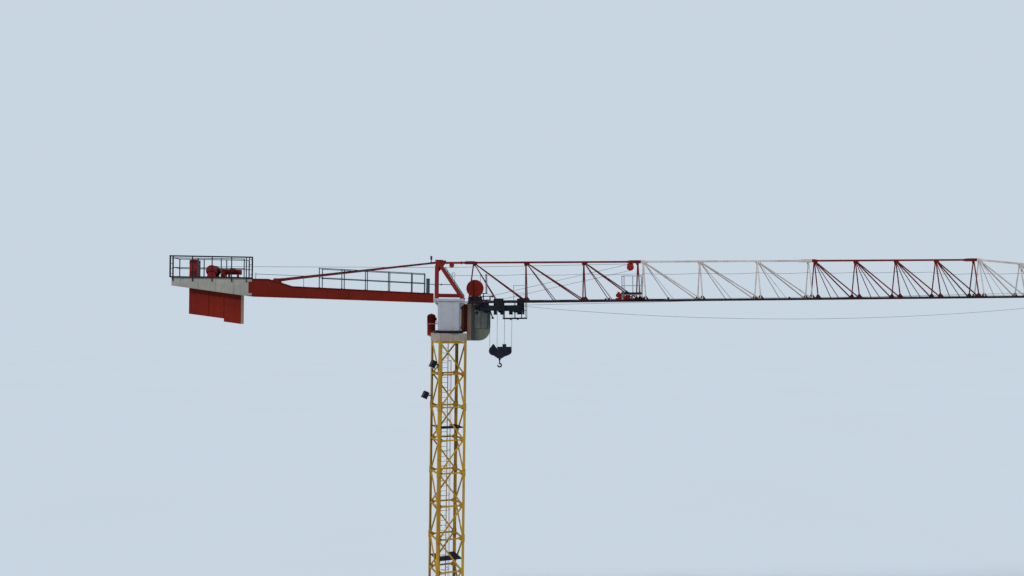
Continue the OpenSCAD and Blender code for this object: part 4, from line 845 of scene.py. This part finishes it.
AUX_AT = moved(1560, 0, 830, JIB)
hub = Piece("auxiliary_drum_details", GIRDER, AUX_AT, "auxiliary_winch_drum")
for k in SIDES:
    hub.hoop((0, k * 70, 0), Y, 508, 9, 48, 6)
    hub.hoop((0, k * 58, 0), Y, 360, 8, 36, 6)
    hub.rod((0, k * 50, 0), (0, k * 92, 0), 96, 24)
    hub.rod((0, k * 90, 0), (0, k * 100, 0), 62, 24)
    for c, s in circle(8, 10):
        hub.bolt((78 * c, k * 90, 78 * s), (0, k, 0), 8, 7)
        hub.tube([(100 * c, k * 71, 100 * s), (500 * c, k * 71, 500 * s)], 9, 4)
coil = Piece("auxiliary_drum_rope", RUBBER, AUX_AT, "auxiliary_winch_drum")
for y, r in product((-27, -9, 9, 27), (370, 388, 406, 424)):
    coil.hoop((0, y, 0), Y, r, 10, 40, 5)
gear = Piece("auxiliary_winch_details", BLACK, AUX_AT)
for c, s in circle(10):
    gear.bolt((165 * c, 240, 165 * s), Y, 10, 10)
gear.rod((0, 238, 0), (0, 430, 0), 88, 20)
for y in spread(260, 410, 8):
    gear.disc((0, y, 0), Y, 98, 8, 20)
gear.box((-40, 300, 80), (40, 390, 140))
gear.box((-380, -250, -730), (420, -110, -480))
for u in spread(-350, 390, 15):
    gear.box((u - 6, -262, -700), (u + 6, -250, -490))
gear.bolts((-370, 20, 410), -180, -480, Z, 14, 12)
gear.tube([(0, 345, 138), (40, 345, 180), (200, 330, 110), (300, 240, -130), (300, 215, -410),
           (300, 200, -630)], 12, 6)
gear.bolts((240, 520, 740), (-205, 205), -680, Z, 12, 12)

# Links of the head, and the nose

links = Piece("link_pins", SHADED_RED, JIB)
for u, k in product((-640, 770), SIDES):
    links.rod((u, k * 98, JIB_H), (u, k * 116, JIB_H), 26, 12)
    links.rod((u, k * 108, JIB_H - 50), (u, k * 108, JIB_H + 50), 6, 6)
for u, k in product((-500, -360, 300, 420), SIDES):
    links.bolt((u, k * 84, JIB_H), (0, k, 0), 14, 12)
NOSE_AT = moved(JOINTS[-1], 0, 0, JIB)
tip = Piece("nose_details", JIB_WHITE, NOSE_AT)
for k in SIDES:
    for u, w in ((120, 20), (120, 160), (120, 300), (230, 20), (640, 40), (700, 250)):
        tip.bolt((u, k * 62, w), (0, k, 0), 14, 12)
    tip.rod((520, k * 60, 170), (520, k * 82, 170), 44, 16)
    tip.bolt((60, k * 430, 61), Z, 16, 14)
for y in (-520, 520):
    tip.rod((60, y, 60), (60, y, 420), 14, 8)
turn = Piece("nose_rope", ROPE, NOSE_AT)
turn.hoop((521, 0, 170), (0, -1, 0), 184, 10, 14, 6, start=-90, sweep=180, zero=X)
turn.tube([(521, 0, -14), (300, 0, 20), (130, -40, 45)], 10, 6)

# Counter-jib

GIRDER_TOP = [(-11640, DECK), (-10500, DECK), (-9250, FLANGE_TOP + 748), (-940, FLANGE_TOP + 448)]
BAY = 1275  # between the stiffeners, and of the walkway
RAIL_Y, RAIL_HEIGHTS = 575, (575, 1130)


def cj_top(x):
    """Height of the girders' top edge."""
    for (x0, z0), (x1, z1) in zip(GIRDER_TOP, GIRDER_TOP[1:]):
        if x0 <= x <= x1:
            return z0 + (z1 - z0) * (x - x0) / (x1 - x0)


def cj_low(x):
    """Height of the lower edge of the girders and, behind them, of the rear frame."""
    return (FLANGE_TOP - 102 + 220 * (x + 940) / -10700 if x > -11640
            else FLANGE_TOP + 118 + 560 * (x + 11640) / -4340)


stiff = Piece("girder_stiffeners", GIRDER)
for i, k in product(range(8), SIDES):
    x = -1737 - BAY * i
    stiff.box((x, k * 565, cj_low(x) + 230), (x + 14, k * 530, cj_top(x) - 25))
for k in SIDES:
    x, y = -6150, k * 588
    stiff.box((x - 260, y, cj_low(x) + 60), (x + 260, y + k * 14, cj_top(x) - 60))
    stiff.bolts((x - 200, x - 80, x + 80, x + 200), y + k * 14,
                spread(cj_low(x) + 105, cj_top(x) - 105, 5), (0, k, 0), 13, 11)
    for x in (-1050, -1180):
        stiff.bolts(x, k * 587, spread(cj_low(x) + 80, cj_top(x) - 80, 5), (0, k, 0), 13, 11)
joint = Piece("rear_joint_plates", WHITE, bevel=4)
for k, z in product(SIDES, (DECK - 110, cj_low(-11600) + 110)):
    y = k * 616
    joint.box((-11840, y - 10, z - 80), (-11440, y + 10, z + 80))
    for x in (-11740, -11540):
        joint.rod((x, y, z), (x, y + k * 36, z), 38, 16)
        joint.rod((x, y + k * 26, z - 52), (x, y + k * 26, z + 52), 6, 6)
grid = Piece("walkway_grating", ZINC)
for i in range(8):
    a, b = -1105 - BAY * i, -2370 - BAY * i
    for x in spread(a - 20, b + 20, 24):
        z = cj_low(x) + 232
        grid.box((x - 4, -470, z - 2), (x + 4, 470, z + 12))
    for y in spread(-450, 450, 7):
        grid.prism([[(x, y - 4, z), (x, y + 4, z), (x, y + 4, z + 10), (x, y - 4, z + 10)]
                    for x, z in ((x, cj_low(x) + 232) for x in (a, b))])
kick = Piece("handrail_fittings", TEAL)
for k in SIDES:
    y = k * RAIL_Y
    for x in (-1480, -2240, -3590, -4930, -6300, -7600):
        z = cj_top(x)
        kick.box((x - 60, y - 45, z + 1), (x + 60, y + 45, z + 14))
        kick.bolts((x - 45, x + 45), y, z + 12, Z, 9, 8)
        for h in RAIL_HEIGHTS:
            kick.rod((x - 40, y, z + h), (x + 40, y, z + h), 27, 8)
    for x in (-11900, -13200, -14500, -15900):
        kick.box((x - 60, y - 30, DECK + 1), (x + 60, y + 45, DECK + 14))
        for h in RAIL_HEIGHTS:
            kick.rod((x - 40, y, DECK + h), (x + 40, y, DECK + h), 27, 8)
y = -RAIL_Y
kick.rod((-8500, y, FLANGE_TOP + 1348), (-11240, y, FLANGE_TOP + 1420), 14, 6)
kick.rod((-11240, y, DECK - 5), (-11240, y, FLANGE_TOP + 1500), 18, 6)
kick.rod((-8500, y, cj_top(-8500) - 3), (-8500, y, FLANGE_TOP + 1370), 16, 6)
forks = Piece("tie_bar_forks", SHADED_RED)
side = Vector(Y)
for k in SIDES:
    a, b = Vector((-10000, k * 575, DECK - 30)), Vector((POST_X - 110, k * 87, APEX_Z - 100))
    way = (b - a).normalized()
    up = way.cross(side).normalized()
    for p, t in ((a + way * 20, way), (b - way * 20, -way)):
        for s in SIDES:
            ring = [p + t * du + up * dv + side * s * 46
                    for du, dv in ((0, -58), (330, -48), (330, 48), (0, 58))]
            forks.prism([ring, [q + side * s * 14 for q in ring]])
            forks.rod(p + t * 70 + side * s * 58, p + t * 70 + side * s * 76, 32, 14)
            for du in (170, 260):
                forks.bolt(p + t * du + side * s * 60, side * s, 14, 12)

# Rear frame, ballast, hoist winch, cabinet, sign frame

rear = Piece("rear_frame_details", WHITE)
for k in SIDES:
    y0, y1 = k * 602, k * 622
    for x in (-12500, -13500, -14500, -15500):
        rear.box((x - 7, y0, cj_low(x) + 15), (x + 7, y1, DECK - 15))
    rear.box((-15970, y0, DECK - 18), (-11660, y1, DECK - 2))
    rear.prism([[(x, y0, z), (x, y1, z), (x, y1, z + 16), (x, y0, z + 16)]
                for x, z in ((x, cj_low(x)) for x in (-11660, -15970))])
BALLAST_X = [-15070, -13950, -13090, -12110]
lugs = Piece("ballast_fittings", BALLAST)
hang = Piece("ballast_hangers", BALLAST, bevel=3)
for i in range(3):
    a, b = BALLAST_X[i] + 6, BALLAST_X[i + 1] - 6
    h = 1680 if i == 2 else 1500
    for k, f in product(SIDES, (0.22, 0.78)):
        x, y = a + (b - a) * f, k * 330
        z = cj_low(x)
        for d in (260, h - 240):
            lugs.rod((x, y - k * 4, z - d), (x, y + k * 5, z - d), 34, 16)
        lugs.rod((x, y + k * 4, z - 260), (x, y + k * 12, z - 260), 18, 12)
        hang.box((x - 45, y, z - 150), (x + 45, y + k * 18, z + 20))
        hang.bolts(x, y + k * 18, (z - 110, z - 50), (0, k, 0), 15, 13)
    for x in (a + 14, b - 14):
        lugs.box((x - 6, -336, cj_low(x) - h + 30), (x + 6, -328, cj_low(x) - 30))
b = BALLAST_X[-1] - 6
# The end face's bright colour is partly painted sunlight.
face = Piece("ballast_end_face", SUNLIT_CONCRETE, moved(b, 0, cj_low(b)), bevel=4)
face.box((-4, -322, -1672), (8, 322, -8))
for y, z in product((-250, 250), (-200, -1450)):
    face.rod((6, y, z), (16, y, z), 30, 14)

DECK_AT = moved(0, 0, DECK)
DRUM_AT = moved(HOIST_X, 0, DECK + HOIST_Z)
MOTOR_Z = 400  # the motor's axis above the deck
drum = Piece("hoist_drum_rope", ROPE, DRUM_AT, "hoist_winch_drum")
for y in spread(-310, 310, 32):
    drum.hoop((0, y, 0), Y, 259, 10, 32, 5)
drum = Piece("hoist_drum_details", RED, DRUM_AT, "hoist_winch_drum")
for k in SIDES:
    drum.hoop((0, k * 350, 0), Y, 318, 9, 36, 6)
    drum.rod((0, k * 346, 0), (0, k * 358, 0), 110, 24)
    for c, s in circle(8):
        drum.bolt((200 * c, k * 350, 200 * s), (0, k, 0), 13, 10)
hw = Piece("hoist_winch_details", RED, DECK_AT, bevel=2)
for x in spread(-13080, -12420, 24):
    hw.disc((x, 220, MOTOR_Z), X, 157, 9, 24)
hw.disc((-12300, 220, MOTOR_Z), X, 162, 90, 24)
hw.rod((-13160, 220, MOTOR_Z), (-13100, 220, MOTOR_Z), 175, 24)
hw.box((-12900, 130, MOTOR_Z + 130), (-12600, 310, MOTOR_Z + 235))
hw.box((-13420, 50, 540), (-13130, 390, 575))
for z, y in product(spread(110, 530, 4), (85, 355)):
    hw.bolt((-13150, y, z), X, 12, 11)
    hw.bolt((-13400, y, z), (-1, 0, 0), 12, 11)
for k in SIDES:
    hw.rod((HOIST_X, k * 400, HOIST_Z), (HOIST_X, k * 425, HOIST_Z), 66, 20)
    for c, s in circle(6):
        hw.bolt((HOIST_X + 50 * c, k * 424, HOIST_Z + 50 * s), (0, k, 0), 8, 7)
    hw.bolts((-14350, -14150, -13500, -12700, -12300), k * 400, 90, Z, 14, 13)
leads = Piece("winch_cables", RUBBER, DECK_AT)
leads.tube([(-12750, 130, 590), (-12750, 40, 580), (-12780, -60, 400), (-12900, -120, 60),
            (-13700, -330, 30), (-14500, -330, 30), (-14650, -200, 60)], 15, 6)
leads.tube([(-14650, 60, 80), (-14400, 200, 22), (-13000, 430, 22), (-11800, 430, 22),
            (-11500, 480, 20), (-10700, 480, 20)], 18, 6)

CABINET_AT = moved(0, 0, DECK + 0.6)
panel = Piece("cabinet_doors", RED, CABINET_AT, bevel=3)
for y0, y1, hinge in ((-335, -12, -335), (12, 335, 335)):
    panel.box((-15062, y0, 45), (-15048, y1, 975))
    for z in spread(700, 900, 9):
        panel.box((-15070, y0 + 50, z), (-15060, y1 - 50, z + 9))
    for z in (150, 820):
        panel.rod((-15066, hinge, z), (-15066, hinge, z + 70), 10, 8)
panel.box((-15020, -362, 45), (-14670, -348, 975))
for z in spread(120, 300, 8):
    panel.box((-14990, -370, z), (-14700, -360, z + 9))
for z in (120, 850):
    panel.rod((-15024, -358, z), (-15024, -358, z + 80), 11, 8)
panel.box((-15065, -365, 1000), (-14625, 365, 1032))
knobs = Piece("cabinet_handles", BLACK, CABINET_AT, bevel=3)
for y in (-50, 50):
    knobs.box((-15078, y - 12, 480), (-15060, y + 12, 600))
knobs.box((-14730, -378, 480), (-14706, -360, 600))

SIGN_X0, SIGN_X1, SIGN_Y = -16070, -11400, -631
sign = Piece("sign_frame_fittings", BLACK, moved(0, SIGN_Y, DECK))
for x, way in ((SIGN_X0 + 25, 1), (SIGN_X1 - 25, -1)):
    inner_x = x + way * 170
    sign.box((inner_x - 22, -22, 20), (inner_x + 22, 22, 1250))
    for z in spread(220, 1100, 4):
        sign.rod((min(x, inner_x), 0, z), (max(x, inner_x), 0, z), 15, 6)
for z in (35, 1235):
    sign.box((SIGN_X0 - 8, -38, z - 38), (SIGN_X1 + 8, 22, z + 38))
for x in (SIGN_X0 + 25, SIGN_X1 - 25):
    sign.box((x - 38, -38, 0), (x + 38, 22, 1268))
for x in (-14800, -13700, -12600):
    sign.rod((x, 20, 1150), (x, 71, 560), 15, 6)
for x in (-15900, -14800, -13700, -12600, -11760):
    for z, r in ((-150, 12), (-60, 12), (35, 10), (1235, 10)):
        sign.bolt((x, -25, z), (0, -1, 0), r, r - 1)

# Trolley, basket, hook block, hook

HOOK_U = 3120
TROLLEY_AT = moved(HOOK_U, 0, 0, JIB)
AXLE_W, SHEAVE_LOW = 46.6, -430
kit = Piece("trolley_fittings", BLACK, TROLLEY_AT, "trolley")
for k in SIDES:
    y = k * 658
    for u, half in ((-150, 260), (1190, 160)):
        kit.rod((u, y - k * 4, AXLE_W), (u, y + k * 34, AXLE_W), 46, 18)
        kit.rod((u, y + k * 30, AXLE_W), (u, y + k * 44, AXLE_W), 26, 12)
        kit.bolts((u - half + 40, u + half - 40), y, (-300, -240, -120, 60), (0, k, 0), 13, 12)
        kit.bolts((u - half + 60, u + half - 60), y, (-420, -600, -730), (0, k, 0), 12, 10)
    for u in (-880, 0, 880):
        kit.rod((u, k * 88, SHEAVE_LOW), (u, k * 118, SHEAVE_LOW), 55, 18)
        kit.rod((u, k * 112, SHEAVE_LOW), (u, k * 124, SHEAVE_LOW), 30, 12)
        kit.bolts((u - 130, u, u + 130), k * 102, -275, (0, k, 0), 12, 10)
    kit.bolts([u for u in spread(-1200, 1200, 9) if abs(u - 590) > 90], y, -270, (0, k, 0), 11, 10)
for k in SIDES:
    kit.box((-1298, k * 635, -520), (1298, k * 657, -325))
    kit.box((-1555, k * 77, -460), (1298, k * 103, -345))
kit.rod((-740, -120, -300), (-520, -120, -960), 38, 10)
kit.disc((-520, -120, -960), Y, 70, 78, 20)
kit.disc((-1465, -90, -645), Y, 90, 72, 20)
reeving = Piece("trolley_sheave_rope", ROPE, TROLLEY_AT, "trolley")
for u, start, sweep in ((-880, 0, 120), (0, 0, 180), (880, 90, 90)):
    reeving.hoop((u, 0, SHEAVE_LOW), (0, -1, 0), 219, 10, 16, 6, start=start, sweep=sweep, zero=X)
reeving.tube([(-990, 0, -240), (-1150, 0, -148), (-1240, 0, -122)], 10, 6)
basket = Piece("basket_mesh", BLACK, TROLLEY_AT, "trolley")
u0, u1, y0, y1 = 55, 1415, -1433, -784
for u in spread(u0, u1, 33):
    basket.box((u - 3, y0, -1010), (u + 3, y1, -1002))
for y in spread(y0, y1, 15):
    basket.box((u0, y - 3, -1008), (u1, y + 3, -1000))
for u in spread(u0, u1, 12):
    basket.box((u - 3, y0 - 4, -1000), (u + 3, y0 + 2, -930))

FALL = 2530  # from the block's sheaves up to the trolley's
BLOCK_SHEAVE = 440  # on each side of the block's middle
block_x = HOOK_U * cos(TILT) - SHEAVE_LOW * sin(TILT)
block_z = JIB_Z + HOOK_U * sin(TILT) + SHEAVE_LOW * cos(TILT) - FALL
BLOCK_AT = moved(block_x, 0, block_z)
block = Piece("hook_block_fittings", BLACK, BLOCK_AT, "hook_block")
for k in SIDES:
    for x, z in ((-60, 230), (0, 230), (75, 230), (160, 380), (290, 380), (-120, -330), (20, -380),
                 (180, -280), (0, 90), (0, -90), (600, 200), (600, -60)):
        block.bolt((x, k * 57, z), (0, k, 0), 13, 11)
    for x in (-BLOCK_SHEAVE, BLOCK_SHEAVE):
        block.rod((x, k * 74, 0), (x, k * 92, 0), 34, 16)
    block.hoop((-BLOCK_SHEAVE, k * 57, 0), Y, 240, 6, 32, 6)
EYE = -855.6  # the middle of the hook's mouth
latch = Piece("hook_fittings", BLACK, BLOCK_AT, "hook")
latch.hoop((-50, 0, -545), Z, 60, 7, 20, 6)
latch.rod((-50, 0, -548), (-50, 0, -580), 46, 6)
latch.box((-45, -26, EYE + 95), (-20, 26, EYE + 130))
latch.tube([(-30, 0, EYE + 115), (40, 0, EYE + 60), (85, 0, EYE + 45)], [14, 11, 8], 8)

ropes = Piece("hoist_rope_falls", ROPE, BLOCK_AT, "trolley")
for k, s in product(SIDES, SIDES):
    x = k * BLOCK_SHEAVE + s * 220
    ropes.tube([(x, 0, z) for z in spread(0, FALL, 12)], 10, 6)
fallen = blend(ropes, "hook_block", "trolley", (0, 0, 0), (0, 0, FALL), BLOCK_AT)
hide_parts("hoist_ropes")
loops = Piece("hook_sheave_rope", ROPE, BLOCK_AT, "hook_block")
for k in SIDES:
    loops.hoop((k * BLOCK_SHEAVE, 0, 0), Y, 219, 10, 20, 6, start=0, sweep=180, zero=X)

Piece.unfinished[-1].done()  # and with it all that were begun before it

# Floor

ground = Mat("floor", shine=0.0)
tone = ground.mix(ground.ramp(ground.noise(0.05, 3), 0.3, 0.7), (0.568, 0.641, 0.720),
                  (0.576, 0.650, 0.731))
ground.bsdf.inputs["Roughness"].default_value = 0.9
ground.put(ground.bsdf.inputs["Base Color"], tone)
bm = bmesh.new()
bmesh.ops.create_circle(bm, cap_ends=True, radius=900, segments=96)
mesh = bpy.data.meshes.new("floor")
bm.to_mesh(mesh)
bm.free()
floor = bpy.data.objects.new("floor", mesh)
scene.collection.objects.link(floor)
floor.location.z = -0.002
mesh.materials.append(ground.m)
